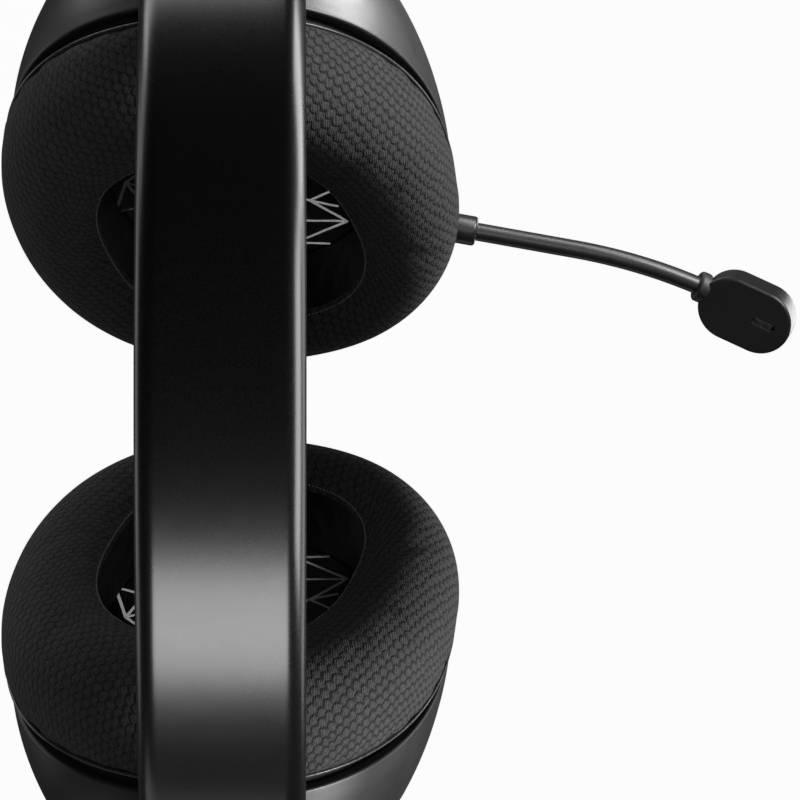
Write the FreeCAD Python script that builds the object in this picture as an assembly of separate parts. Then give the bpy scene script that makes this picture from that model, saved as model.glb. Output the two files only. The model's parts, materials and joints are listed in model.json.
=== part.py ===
import FreeCAD, Part

import math
import os

# Closed-back wireless gaming headset, in millimetres.
# Row frame: +X is the wearer's left, -Y the wearer's front, +Z up. The origin is where the crown cushion
# rests on the head. Left-hand pieces are modelled first and the right-hand ones are their mirror images.

V = FreeCAD.Vector
ALONG_Y = V(0, 1, 0)
MIRROR_NORMAL = V(1, 0, 0)

# ---- headband ----
CROWN_TOP = 14.5          # height of the band's outer surface over the head rest
CROWN_R = 88.0            # outer radius over the crown
CROWN_ANGLE = 58.0        # half angle of the crown arc, degrees
SHOULDER_R = 55.0         # outer radius where the band turns down into its legs
LEG_LEAN = 3.0            # inward lean of the straight legs, degrees
SHOULDER_ANGLE = 90.0 + LEG_LEAN - CROWN_ANGLE
BAND_HALF = 14.55         # half width of the band
FLAT_HALF = 10.7          # half width of the flat outer face
SHOULDER_DROP = 3.9       # depth of the rounded edges
COVER_WALL = 1.6
LIP_DEPTH = 5.8           # depth of the cover's side lips
LINER = (4.6, 6.0)        # depth range of the inner liner
LINER_HALF = 12.85
SPRING = (1.9, 2.7)       # depth range of the spring steel strip
SPRING_HALF = 8.0
CABLE_R = 0.8
CABLE_DEPTH = 3.65
CABLE_Y = 10.0
CUSHION_ANGLE = 50.0
CUSHION_HALF = 13.2
CUSHION_TOP = 6.2         # depth where the crown cushion starts
LINER_STOP = 26.0         # degrees of shoulder that the liner and cable follow
SPRING_STOP = 19.0

# ---- size adjusters ----
COVER_END = 20.0          # leg length covered by the band's cover
HOUSING_END = 21.8        # leg length where the slider housing ends
ARM_DEPTH = 3.6           # depth of the sliding arm's centre plane
ARM_T = 1.2
ARM_HALF = 7.0
ARM_TOP = -10.0           # leg position of the arm's upper end when pushed in
SLIDE_GAP = 0.15
NOTCH_PITCH = 2.5
NOTCH_R = 0.45
DETENT_AT = 12.5          # leg position of the detent spring's bump
DETENT_ROOM = (6.5, 18.5)
FOOT = (22.1, 29.1)       # leg range of the foot under the housing
FOOT_HALF_Y = 8.0
FOOT_HALF_T = 4.0
ARM_IN_FOOT = 25.2
PIVOT_AT = 34.85          # leg position of the tilt axis

# ---- swivel fork ----
FORK_CROWN = (29.3, 31.6)
FORK_HALF_T = 3.2
EAR = (4.15, 7.0)
SHAFT_R = 2.5
RUNNING = 0.05            # radial running clearance
SHAFT_TOP = 25.7
CLIP = (26.4, 26.9)
TILT_PIN_R = 1.5
TILT_PIN_HALF = 7.2
BOSS_R = 3.0
BOSS_HALF = 4.0

# ---- ear cups, in their own frame: x outward, y back, z up the cup ----
CUP_LEAN = 29.0           # degrees the cup leans at rest, pads turned up and inward
PIVOT_X = 7.8             # middle of the tilt axis in the cup's frame
PIVOT_Y = 0.7
PIVOT_Z = 50.0
OVAL = (41.2, 51.0)       # half width and half height of the cup and pad
OVAL_POWER = 2.27
OVAL_LEAN = 9.9           # the oval's top leans back, degrees
RIM_X = 2.75              # plane of the shell's front rim
SHELL_BACK = 25.0         # plane where the outer plate sits
SHELL_WALL = 2.0
SHELL_FORWARD = 0.1       # the shell is this much wider than the pad, and set this far forward
TAPER = (1.7, 5.6)        # inset of the shell's wall over its depth: linear and square terms
TAPER_DEPTH = 25.0
PLATE_T = 1.8
PLATE_INSET = 2.2
POCKET = (8.2, 15.5, 43.5)    # half width, back plane and floor of the hinge pocket
POCKET_WALL = 2.0
BAFFLE_INSET = 2.4
DRIVER_Z = -3.0
DRIVER_R = 20.0
MAGNET_R = 12.5
SCREW_R = 1.3
SCREW_HEAD_R = 2.3

# ---- ear cushions ----
PAD_BACK = -1.6
PAD_FRONT = -20.0
PAD_SECTIONS = ((-1.6, 0.0), (-7.0, 1.5), (-13.0, 0.3), (-17.5, -3.5), (-20.0, -9.0))
OPENING = (23.8, 30.85)   # half width and half height of the ear opening
OPENING_POWER = 2.5
OPENING_LEAN = 15.6
OPENING_Z = -3.0

# ---- controls on the left cup ----
WHEEL_R = 8.0
WHEEL_T = 4.0
WHEEL_Z = -4.0
WHEEL_OUT = 1.6
BUTTON_R = 2.6
BUTTON_TRAVEL = 0.8
BUTTON_OUT = 1.0
BUTTON_X = 13.0
FLANGE_DEPTHS = (-4.2, -3.2)    # the flange of a button, under the outer wall
POWER_Z = -17.5
MUTE_Z = -26.0
LIGHT_Z = -31.5
JACK_Y = -2.5
JACK_X = 13.0
JACK_R = 3.2
JACK_BORE_R = 1.8
JACK_LENGTH = 14.0
USB_Y = 8.5
USB_HALF = (4.5, 1.65)
BOARD_X = (15.2, 16.8)    # faces of the circuit board
FRAME_X = (16.6, 18.0)    # faces of the control frame

# ---- microphone, in the row frame ----
MIC_HEAD_Z = -171.0       # height of the boom's root
COLLAR_END = V(33.45, -48.9, MIC_HEAD_Z)
MIC_TURN = 10.1           # the plug points forward and this much inward, degrees
COLLAR_R = 2.95
COLLAR_LENGTH = 17.0
PLUG_R = 1.75
PLUG_LENGTH = 13.0
SOCKET_R = 3.6
BOOM_R = 1.8
BOOM_RUN = 19.9           # straight length of the boom beyond the collar
BOOM_END = V(22.9, -92.85, MIC_HEAD_Z - 2.5)
NECK_R = 3.1
NECK_T = 2.4
CAPSULE_CENTRE = V(17.75, -103.05, MIC_HEAD_Z - 3.0)
CAPSULE_TURN = 25.0
CAPSULE_NORMAL = V(-0.313, 0.276, 0.909)
CAPSULE_LENGTH = 19.5
CAPSULE_WIDTH = 13.1
CAPSULE_FRONT_T = 4.6
CAPSULE_BACK_T = 2.4
SLOT_LENGTH = 4.9
SLOT_WIDTH = 1.4
SLOT_SHIFT = 4.1


def save(shape, node):
    """Writes one node's solids to its STEP file."""
    solids = shape.Solids
    assert solids and all(s.isValid() for s in solids), node
    Part.makeCompound(solids).exportStep(f"parts/{node}.step")
    print(node, len(solids), round(sum(s.Volume for s in solids), 1))


def save_pair(shape, node):
    """Writes a left-hand piece and its mirror image."""
    save(shape, node + "_left")
    save(shape.mirror(V(0, 0, 0), MIRROR_NORMAL), node + "_right")


def cylinder(radius, start, end):
    return Part.makeCylinder(radius, (end - start).Length, start, end - start)


def box(low, high):
    size = V(*high) - V(*low)
    return Part.makeBox(size.x, size.y, size.z, V(*low))


def rounded(shape, radius, test):
    """Fillets the edges whose centre passes the test."""
    edges = [e for e in shape.Edges if test(e.CenterOfMass)]
    return shape.makeFillet(radius, edges)


# ================= headband =================

CROWN_CENTRE = V(0, 0, CROWN_TOP - CROWN_R)
turn = math.radians(CROWN_ANGLE)
SHOULDER_CENTRE = CROWN_CENTRE + V(math.sin(turn), 0, math.cos(turn)) * (CROWN_R - SHOULDER_R)
lean = math.radians(LEG_LEAN)
LEG_DOWN = V(-math.sin(lean), 0, -math.cos(lean))
LEG_IN = V(-math.cos(lean), 0, math.sin(lean))
LEG_START = SHOULDER_CENTRE + V(math.cos(lean), 0, -math.sin(lean)) * SHOULDER_R
PIVOT = LEG_START + LEG_DOWN * PIVOT_AT + LEG_IN * ARM_DEPTH


def on_leg(at, depth=ARM_DEPTH, y=0.0):
    """A point on the left leg: distance down it, depth under its outer face, and y."""
    return LEG_START + LEG_DOWN * at + LEG_IN * depth + ALONG_Y * y


def crown_points(pairs):
    """Section points (y, depth) in the plane x = 0."""
    return [V(0, y, CROWN_TOP - depth) for y, depth in pairs]


def polygon(points):
    return Part.Face(Part.makePolygon(points + points[:1]))


def cover_section():
    """The cover's channel: flat top, rounded edges and side lips."""
    shoulder = BAND_HALF - FLAT_HALF
    bend = math.sqrt(0.5)
    mid_y, mid_depth = FLAT_HALF + shoulder * bend, SHOULDER_DROP * (1 - bend)
    inner = BAND_HALF - COVER_WALL
    inner_drop = SHOULDER_DROP + 0.6
    a, b, c, d, e, f = crown_points([
        (-BAND_HALF, LIP_DEPTH), (-BAND_HALF, SHOULDER_DROP), (-FLAT_HALF, 0),
        (FLAT_HALF, 0), (BAND_HALF, SHOULDER_DROP), (BAND_HALF, LIP_DEPTH)])
    left_mid, right_mid = crown_points([(-mid_y, mid_depth), (mid_y, mid_depth)])
    under = crown_points([
        (inner, LIP_DEPTH), (inner, inner_drop), (FLAT_HALF - 0.4, COVER_WALL),
        (-FLAT_HALF + 0.4, COVER_WALL), (-inner, inner_drop), (-inner, LIP_DEPTH)])
    edges = [
        Part.makeLine(a, b), Part.Arc(b, left_mid, c).toShape(), Part.makeLine(c, d),
        Part.Arc(d, right_mid, e).toShape(), Part.makeLine(e, f)]
    chain = [f] + under + [a]
    edges += [Part.makeLine(p, q) for p, q in zip(chain, chain[1:])]
    return Part.Face(Part.Wire(edges))


def strip_section(half, depths):
    low, high = depths
    return polygon(crown_points([(-half, low), (half, low), (half, high), (-half, high)]))


def along_crown(section, angle):
    face = section.copy()
    face.rotate(CROWN_CENTRE, ALONG_Y, -angle)
    return face.revolve(CROWN_CENTRE, ALONG_Y, 2 * angle)


def along_shoulder(section, angle):
    face = section.copy()
    face.rotate(CROWN_CENTRE, ALONG_Y, CROWN_ANGLE)
    return face.revolve(SHOULDER_CENTRE, ALONG_Y, angle)


def along_leg(section, start, end):
    face = section.copy()
    face.rotate(CROWN_CENTRE, ALONG_Y, CROWN_ANGLE)
    face.rotate(SHOULDER_CENTRE, ALONG_Y, SHOULDER_ANGLE)
    face.translate(LEG_DOWN * start)
    return face.extrude(LEG_DOWN * (end - start))


def both_sides(middle, sides):
    """One solid from a middle piece, left-hand pieces and their mirror images."""
    mirrored = [s.mirror(V(0, 0, 0), MIRROR_NORMAL) for s in sides]
    return middle.fuse(sides + mirrored).removeSplitter()


def band_cover():
    section = cover_section()
    return both_sides(along_crown(section, CROWN_ANGLE), [
        along_shoulder(section, SHOULDER_ANGLE), along_leg(section, 0, COVER_END)])


def band_strip(half, depths, stop):
    section = strip_section(half, depths)
    return both_sides(along_crown(section, CROWN_ANGLE), [along_shoulder(section, stop)])


def crossover_cable():
    """The lead between the cups, lying along the band beside the spring."""
    centre = V(0, CABLE_Y, CROWN_TOP - CABLE_DEPTH)
    section = Part.Face(Part.Wire(Part.makeCircle(CABLE_R, centre, V(1, 0, 0))))
    return both_sides(along_crown(section, CROWN_ANGLE), [along_shoulder(section, LINER_STOP - 1)])


def crown_cushion():
    section = strip_section(CUSHION_HALF, (CUSHION_TOP, CROWN_TOP))
    pad = along_crown(section, CUSHION_ANGLE)
    inner_r = CROWN_R - CROWN_TOP

    def under_edge(p):
        return abs((p - CROWN_CENTRE).Length - inner_r) < CUSHION_TOP and p.z < CROWN_TOP - CUSHION_TOP
    return rounded(pad, 2.5, lambda p: under_edge(p) and abs(abs(p.y) - CUSHION_HALF) < 0.01)


def slider_housing():
    """Guide block that closes the leg's end, with the slot for the sliding arm."""
    guide = along_leg(strip_section(LINER_HALF, (COVER_WALL + SLIDE_GAP, LINER[1])), 0, COVER_END)
    shoulders = along_leg(cover_section(), 0, COVER_END)
    cap = along_leg(strip_section(BAND_HALF - 0.6, (0.3, LIP_DEPTH + 0.4)), COVER_END, HOUSING_END)
    cap = cap.makeFillet(1.2, [e for e in cap.Edges if abs(e.tangentAt(0).dot(LEG_DOWN)) > 0.9])
    slot_depths = (ARM_DEPTH - ARM_T / 2 - SLIDE_GAP, ARM_DEPTH + ARM_T / 2 + SLIDE_GAP)
    slot = along_leg(strip_section(ARM_HALF + SLIDE_GAP, slot_depths), -1, HOUSING_END + 1)
    spring_room = along_leg(strip_section(3.0, (slot_depths[1], LINER[1] - 0.6)), *DETENT_ROOM)
    return guide.cut(shoulders).fuse(cap).cut(slot).cut(spring_room).removeSplitter()


def detent_spring():
    """Leaf spring whose bump clicks along the arm's notches."""
    floor = LINER[1] - 0.6
    radius = 0.55
    leaf = along_leg(strip_section(2.5, (floor - 0.3, floor)), DETENT_ROOM[0] + 0.3, DETENT_ROOM[1] - 0.3)
    centre = floor - radius - 0.05
    bump = cylinder(radius, on_leg(DETENT_AT, centre, -2.5), on_leg(DETENT_AT, centre, 2.5))
    return leaf.fuse(bump).removeSplitter()


def band_screws():
    screws = []
    for y in (-10.2, 10.2):
        head = cylinder(SCREW_HEAD_R, on_leg(11, LINER[1], y), on_leg(11, LINER[1] + 0.9, y))
        shank = cylinder(SCREW_R, on_leg(11, LINER[1] - 3.0, y), on_leg(11, LINER[1], y))
        socket = cylinder(1.0, on_leg(11, LINER[1] + 0.4, y), on_leg(11, LINER[1] + 2, y))
        screws.append(head.fuse(shank).cut(socket).removeSplitter())
    screws += [s.mirror(V(0, 0, 0), MIRROR_NORMAL) for s in screws]
    return Part.makeCompound(screws)


def screw_holes_in(housing):
    for y in (-10.2, 10.2):
        housing = housing.cut(cylinder(SCREW_R, on_leg(11, LINER[1] - 3.0, y), on_leg(11, 12, y)))
    return housing


# ================= sliding arms and hinges =================

def sliding_arm():
    """Steel strip with detent notches."""
    depths = (ARM_DEPTH - ARM_T / 2, ARM_DEPTH + ARM_T / 2)
    arm = along_leg(strip_section(ARM_HALF, depths), ARM_TOP, ARM_IN_FOOT)
    notches = round((DETENT_AT - ARM_TOP) / NOTCH_PITCH)
    for i in range(notches):
        at = DETENT_AT - i * NOTCH_PITCH
        notch = cylinder(NOTCH_R, on_leg(at, depths[1] + 0.15, -3), on_leg(at, depths[1] + 0.15, 3))
        arm = arm.cut(notch)
    return arm


def arm_foot(arm):
    """Moulded block at the arm's end, with the vertical swivel bearing."""
    depths = (ARM_DEPTH - FOOT_HALF_T, ARM_DEPTH + FOOT_HALF_T)
    foot = along_leg(strip_section(FOOT_HALF_Y, depths), *FOOT)
    foot = foot.makeFillet(1.8, [e for e in foot.Edges if abs(e.tangentAt(0).dot(LEG_DOWN)) > 0.9])
    bore = cylinder(SHAFT_R + RUNNING, on_leg(SHAFT_TOP - 0.3), on_leg(FOOT[1] + 1))
    clip_room = cylinder(SHAFT_R + 1.4, on_leg(CLIP[0] - 0.4), on_leg(CLIP[1] + 0.4))
    return foot.cut(arm).cut(bore).cut(clip_room)


def swivel_fork():
    """Shaft that turns in the foot, with two ears that carry the tilt pin."""
    depths = (ARM_DEPTH - FORK_HALF_T, ARM_DEPTH + FORK_HALF_T)
    fork = along_leg(strip_section(EAR[1], depths), FORK_CROWN[0], PIVOT_AT)
    for side in (-1, 1):
        inner, outer = sorted((side * EAR[0], side * EAR[1]))
        fork = fork.fuse(cylinder(FORK_HALF_T, on_leg(PIVOT_AT, y=inner), on_leg(PIVOT_AT, y=outer)))
    gap = along_leg(strip_section(EAR[0], (-20, 20)), FORK_CROWN[1], PIVOT_AT + 10)
    shaft = cylinder(SHAFT_R, on_leg(SHAFT_TOP), on_leg(FORK_CROWN[0] + 0.5))
    groove = cylinder(SHAFT_R + 1, on_leg(CLIP[0]), on_leg(CLIP[1]))
    groove = groove.cut(cylinder(SHAFT_R - 0.6, on_leg(CLIP[0] - 1), on_leg(CLIP[1] + 1)))
    pin = cylinder(TILT_PIN_R, on_leg(PIVOT_AT, y=-20), on_leg(PIVOT_AT, y=20))
    return fork.cut(gap).fuse(shaft).cut(groove).cut(pin).removeSplitter()


def swivel_clip():
    """Open ring that keeps the shaft in the foot."""
    play = 0.03
    ring = cylinder(SHAFT_R + 1.1, on_leg(CLIP[0] + play), on_leg(CLIP[1] - play))
    ring = ring.cut(cylinder(SHAFT_R - 0.6 + play, on_leg(CLIP[0] - 1), on_leg(CLIP[1] + 1)))
    mouth = along_leg(strip_section(1.5, (ARM_DEPTH, ARM_DEPTH + 6)), CLIP[0] - 1, CLIP[1] + 1)
    return ring.cut(mouth)


def tilt_pin():
    return cylinder(TILT_PIN_R, on_leg(PIVOT_AT, y=-TILT_PIN_HALF), on_leg(PIVOT_AT, y=TILT_PIN_HALF))


# ================= ear cups =================

CUP_TURN = FreeCAD.Rotation(ALONG_Y, CUP_LEAN)
CUP_ORIGIN = PIVOT - CUP_TURN.multVec(V(PIVOT_X, PIVOT_Y, PIVOT_Z))
CUP_PLACE = FreeCAD.Placement(CUP_ORIGIN, CUP_TURN)
OUTLINE_POINTS = 32


def in_row(shape):
    """Moves a shape from the cup's frame to the row frame."""
    return shape.transformed(CUP_PLACE.toMatrix(), True)


def to_cup(point):
    """A row-frame point in the cup's frame."""
    return CUP_PLACE.inverse().multVec(point)


def oval_wire(x, grow, size=OVAL, power=OVAL_POWER, tilt=OVAL_LEAN, centre_y=0.0, centre_z=0.0):
    """A leaning superellipse in the plane x, grown or shrunk by a distance."""
    half_y, half_z = size[0] + grow, size[1] + grow
    tilt = math.radians(tilt)
    points = []
    for i in range(OUTLINE_POINTS):
        t = 2 * math.pi * i / OUTLINE_POINTS
        c, s = math.cos(t), math.sin(t)
        y = math.copysign(half_y * abs(c) ** (2 / power), c)
        z = math.copysign(half_z * abs(s) ** (2 / power), s)
        points.append(V(x, centre_y + y * math.cos(tilt) + z * math.sin(tilt),
                        centre_z - y * math.sin(tilt) + z * math.cos(tilt)))
    curve = Part.BSplineCurve()
    curve.interpolate(Points=points, PeriodicFlag=True)
    return Part.Wire(curve.toShape())


def oval_plate(x0, x1, grow, **kind):
    return Part.Face(oval_wire(x0, grow, **kind)).extrude(V(x1 - x0, 0, 0))


def opening_wire(x, grow):
    return oval_wire(x, grow, size=OPENING, power=OPENING_POWER, tilt=OPENING_LEAN, centre_z=OPENING_Z)


def opening_plate(x0, x1, grow):
    return Part.Face(opening_wire(x0, grow)).extrude(V(x1 - x0, 0, 0))


def taper(x):
    """How far the shell's wall has drawn in at a plane."""
    t = (x - RIM_X) / TAPER_DEPTH
    return TAPER[0] * t + TAPER[1] * t * t


def shell_wire(x, inset=0.0):
    """The shell's outline at a plane, drawn in by the taper and an inset."""
    return oval_wire(x, SHELL_FORWARD - taper(x) - inset, centre_y=-SHELL_FORWARD)


def shell_loft(inset, x_end):
    planes = [RIM_X, 9.0, 15.0, 20.0, x_end]
    return Part.makeLoft([shell_wire(x, inset) for x in planes], True)


def pocket_box(grow=0.0):
    half, back, floor = POCKET
    return box((-2, PIVOT_Y - half - grow, floor - grow), (back + grow, PIVOT_Y + half + grow, PIVOT_Z + 20))


def plain_shell():
    """Bowl with the hinge pocket and its boss."""
    outer = shell_loft(0, SHELL_BACK)
    shell = outer.cut(shell_loft(SHELL_WALL, SHELL_BACK))
    floor_face = Part.Face(shell_wire(SHELL_BACK, SHELL_WALL / 2)).extrude(V(-1.8, 0, 0))
    floor_face.translate(V(-1.8, 0, 0))
    shell = shell.fuse(floor_face)
    shell = shell.fuse(pocket_box(POCKET_WALL).common(outer))
    shell = shell.cut(pocket_box())
    low, high = PIVOT_Y - BOSS_HALF, PIVOT_Y + BOSS_HALF
    boss = box((PIVOT_X - BOSS_R, low, POCKET[2] - 1), (PIVOT_X + BOSS_R, high, PIVOT_Z))
    barrel = cylinder(BOSS_R, V(PIVOT_X, low, PIVOT_Z), V(PIVOT_X, high, PIVOT_Z))
    shell = shell.fuse(boss.fuse(barrel))
    bore = cylinder(TILT_PIN_R + RUNNING, V(PIVOT_X, PIVOT_Y - 9, PIVOT_Z), V(PIVOT_X, PIVOT_Y + 9, PIVOT_Z))
    shell = shell.cut(bore)
    for y, z in SCREW_SPOTS:
        post = cylinder(SCREW_HEAD_R + 0.6, V(RIM_X + 3.2, y, z), V(SHELL_BACK - 3, y, z))
        shell = shell.fuse(post).cut(cylinder(SCREW_R, V(RIM_X, y, z), V(RIM_X + 12, y, z)))
    return shell


SCREW_SPOTS = ((25, 23), (-25, 24), (18, -36), (-9, -42))
STANDOFF_SPOTS = ((-17, 20), (18, -20))


def outer_plate():
    """Smooth plate that closes the shell's back, slightly domed."""
    def ring(rise, inset):
        wire = shell_wire(SHELL_BACK, PLATE_INSET + inset)
        wire.translate(V(rise, 0, 0))
        return wire
    body = Part.makeLoft([ring(-1.7, 0), ring(0.1, 0), ring(0.7, 0.8)], True, True)
    dome = Part.makeLoft([ring(0.7, 0.8), ring(1.5, 9.8), ring(PLATE_T, 20.8)], True, True)
    return body.fuse(dome).removeSplitter()


def baffle():
    """Front plate that holds the driver and closes the shell."""
    plate = oval_plate(0.3, RIM_X - 0.15, -BAFFLE_INSET)
    flange = oval_plate(RIM_X - 0.15, RIM_X + 3.0, -SHELL_WALL - 0.35)
    port = cylinder(DRIVER_R - 2.5, V(-1, 0, DRIVER_Z), V(9, 0, DRIVER_Z))
    seat = cylinder(DRIVER_R + 0.1, V(RIM_X, 0, DRIVER_Z), V(9, 0, DRIVER_Z))
    body = plate.fuse(flange).cut(port).cut(seat).cut(pocket_box(POCKET_WALL + 0.2).common(
        box((RIM_X - 0.15, -30, 0), (30, 30, 90))))
    for y, z in SCREW_SPOTS:
        body = body.cut(cylinder(SCREW_HEAD_R + 0.1, V(-1, y, z), V(1.6, y, z)))
        body = body.cut(cylinder(SCREW_R + 0.15, V(-1, y, z), V(9, y, z)))
    web = box((0.3, -1.0, DRIVER_Z - DRIVER_R), (1.5, 1.0, DRIVER_Z + DRIVER_R))
    for angle in (0, 60, 120):
        spoke = web.copy()
        spoke.rotate(V(0, 0, DRIVER_Z), V(1, 0, 0), angle)
        body = body.fuse(spoke)
    return body.removeSplitter()


def cup_screws():
    screws = []
    for y, z in SCREW_SPOTS:
        head = cylinder(SCREW_HEAD_R, V(0.35, y, z), V(1.6, y, z))
        shank = cylinder(SCREW_R, V(1.6, y, z), V(RIM_X + 11, y, z))
        cross = box((0, y - 0.3, z - 1.3), (0.9, y + 0.3, z + 1.3))
        screws.append(head.fuse(shank).cut(cross))
    return Part.makeCompound(screws)


def driver_frame():
    rim = cylinder(DRIVER_R, V(RIM_X, 0, DRIVER_Z), V(RIM_X + 2.0, 0, DRIVER_Z))
    neck = Part.makeCone(DRIVER_R, MAGNET_R + 1.5, 3.5, V(RIM_X + 2.0, 0, DRIVER_Z), V(1, 0, 0))
    hollow = Part.makeCone(DRIVER_R - 1.2, MAGNET_R, 5.5, V(RIM_X - 0.01, 0, DRIVER_Z), V(1, 0, 0))
    return rim.fuse(neck).cut(hollow).removeSplitter()


def driver_magnet():
    return cylinder(MAGNET_R, V(RIM_X + 5.5, 0, DRIVER_Z), V(RIM_X + 11.0, 0, DRIVER_Z))


def driver_diaphragm():
    """Thin shallow dome inside the driver's frame."""
    base = RIM_X + 0.4
    outer = Part.makeCone(DRIVER_R - 2.2, 7.0, 2.2, V(base, 0, DRIVER_Z), V(1, 0, 0))
    inner = Part.makeCone(DRIVER_R - 2.5, 6.7, 2.2, V(base - 0.25, 0, DRIVER_Z), V(1, 0, 0))
    return outer.cut(inner)


def cushion_ring():
    """Stiff ring under the cushion that snaps onto the baffle."""
    return oval_plate(PAD_BACK + 0.1, 0.0, -0.9).cut(opening_plate(-5, 5, -1.0))


def speaker_scrim():
    """Thin cloth disc over the driver, inside the ear opening."""
    return opening_plate(-2.6, -1.9, -0.25)


def ear_cushion():
    """Foam ring with a crowned face and the slanted ear opening."""
    outer = Part.makeLoft([oval_wire(x, g) for x, g in PAD_SECTIONS], True)
    hole = Part.makeLoft([opening_wire(x, g) for x, g in
                          ((PAD_FRONT - 0.5, 5.0), (-17.5, 1.0), (-14.0, 0.0), (PAD_BACK + 0.5, 0.0))], True)
    return outer.cut(hole)


# ================= left cup's controls and electronics =================

def rear_edge(x, z):
    """The y of the shell's outer wall at the back of the cup, at a height z."""
    probe = Part.makeLine(V(x, 0, z), V(x, 80, z))
    return shell_wire(x).distToShape(probe)[1][0][0].y


def lower_edge(x, y):
    """The z of the shell's outer wall at the bottom of the cup, at a given y."""
    probe = Part.makeLine(V(x, y, 0), V(x, y, -80))
    return shell_wire(x).distToShape(probe)[1][0][0].z


def wall_out(z):
    """The rear wall's outward direction at a height z, beside the buttons."""
    step = 0.5
    slope_x = (rear_edge(BUTTON_X + step, z) - rear_edge(BUTTON_X - step, z)) / (2 * step)
    slope_z = (rear_edge(BUTTON_X, z + step) - rear_edge(BUTTON_X, z - step)) / (2 * step)
    return V(-slope_x, 1, -slope_z).normalize()


def on_wall(shape, z):
    """Moves a shape so that its origin lies on the rear wall and its +y points straight out of it."""
    turn = FreeCAD.Rotation(ALONG_Y, wall_out(z))
    place = FreeCAD.Placement(V(BUTTON_X, rear_edge(BUTTON_X, z), z), turn)
    return shape.transformed(place.toMatrix(), True)


def wall_rod(radius, low, high, z):
    """A rod square to the rear wall, between two heights over it."""
    return on_wall(cylinder(radius, V(0, low, 0), V(0, high, 0)), z)


WHEEL_CENTRE = V(BUTTON_X, rear_edge(BUTTON_X, WHEEL_Z) + WHEEL_OUT - WHEEL_R, WHEEL_Z)
MIC_AXIS = V(-math.sin(math.radians(MIC_TURN)), -math.cos(math.radians(MIC_TURN)), 0)
COLLAR_ROOT = COLLAR_END - MIC_AXIS * COLLAR_LENGTH


def volume_wheel():
    """Knurled thumb wheel, its rim standing out of the cup's rear edge."""
    half = V(WHEEL_T / 2, 0, 0)
    wheel = cylinder(WHEEL_R, WHEEL_CENTRE - half, WHEEL_CENTRE + half)
    flutes = 36
    rim = WHEEL_CENTRE + V(0, WHEEL_R, 0)
    flute = cylinder(0.35, rim - half * 2, rim + half * 2)
    cuts = []
    for i in range(flutes):
        cut = flute.copy()
        cut.rotate(WHEEL_CENTRE, V(1, 0, 0), 360 * i / flutes)
        cuts.append(cut)
    bore = cylinder(1.5 + RUNNING, WHEEL_CENTRE - half * 2, WHEEL_CENTRE + half * 2)
    return wheel.cut(Part.makeCompound(cuts)).cut(bore)


def wheel_axle():
    """Headed stub that carries the wheel on the control frame."""
    end = WHEEL_CENTRE + V(FRAME_X[1] - WHEEL_CENTRE.x, 0, 0)
    front = WHEEL_CENTRE - V(WHEEL_T / 2 + 0.2, 0, 0)
    return cylinder(1.5, front, end).fuse(cylinder(2.4, front - V(0.7, 0, 0), front)).removeSplitter()


def control_frame():
    """Plate along the rear wall that carries the wheel's axle and the button switches."""
    plate = box((FRAME_X[0], 22.5, -30), (FRAME_X[1], 50, 10))
    plate = plate.common(shell_loft(SHELL_WALL + 0.02, SHELL_BACK))
    for y, z in SCREW_SPOTS:
        plate = plate.cut(cylinder(SCREW_HEAD_R + 0.65, V(10, y, z), V(20, y, z)))
    return plate.cut(cylinder(1.5, WHEEL_CENTRE, WHEEL_CENTRE + V(10, 0, 0)))


def button_switches():
    """Small push switches, one behind each button."""
    switches = []
    top = FLANGE_DEPTHS[0] - BUTTON_TRAVEL - 0.2
    for z in (POWER_Z, MUTE_Z):
        body = on_wall(box((-2.6, top - 3.4, -2.6), (8, top - 0.6, 2.6)), z)
        body = body.common(box((0, 0, -60), (FRAME_X[0], 60, 60)))
        switches.append(body.fuse(wall_rod(1.2, top - 0.7, top, z)).removeSplitter())
    return Part.makeCompound(switches)


def push_button(z):
    """Round button with a flange inside the wall; it travels straight into it."""
    low, high = FLANGE_DEPTHS
    cap = cylinder(BUTTON_R, V(0, high, 0), V(0, BUTTON_OUT, 0))
    cap = rounded(cap, 0.4, lambda p: p.y > BUTTON_OUT - 0.01)
    flange = cylinder(BUTTON_R + 0.7, V(0, low, 0), V(0, high, 0))
    return on_wall(cap.fuse(flange).removeSplitter(), z)


def status_light():
    return wall_rod(1.0, -4.0, 0.1, LIGHT_Z)


def audio_jack():
    """Round 3.5 mm socket that opens at the cup's lower edge."""
    mouth = lower_edge(JACK_X, JACK_Y) - 0.2
    body = cylinder(JACK_R, V(JACK_X, JACK_Y, mouth), V(JACK_X, JACK_Y, mouth + JACK_LENGTH + 1.5))
    bore = cylinder(JACK_BORE_R, V(JACK_X, JACK_Y, mouth - 1), V(JACK_X, JACK_Y, mouth + JACK_LENGTH))
    return body.cut(bore)


def usb_prism(grow, low, high):
    half_y, half_x = USB_HALF[0] + grow, USB_HALF[1] + grow
    slab = box((JACK_X - half_x, USB_Y - half_y, low), (JACK_X + half_x, USB_Y + half_y, high))
    return slab.makeFillet(half_x * 0.95, [e for e in slab.Edges if abs(e.tangentAt(0).z) > 0.9])


def usb_port():
    """Rounded charging port beside the audio jack, with its contact tongue."""
    edge = lower_edge(JACK_X, USB_Y + 3)
    shell = usb_prism(0.35, edge - 0.3, edge + 8.5).cut(usb_prism(0, edge - 1, edge + 7.5))
    tongue = box((JACK_X - 0.35, USB_Y - 3.2, edge + 1.2), (JACK_X + 0.35, USB_Y + 3.2, edge + 8.0))
    return shell.fuse(tongue).removeSplitter()


def mic_socket():
    """Socket tube in the row frame, behind the boom's collar."""
    start = COLLAR_ROOT - MIC_AXIS * 0.1
    body = cylinder(SOCKET_R, start - MIC_AXIS * (PLUG_LENGTH + 2), start)
    return body.cut(cylinder(PLUG_R + RUNNING, start - MIC_AXIS * (PLUG_LENGTH + 0.5), start + MIC_AXIS))


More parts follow.
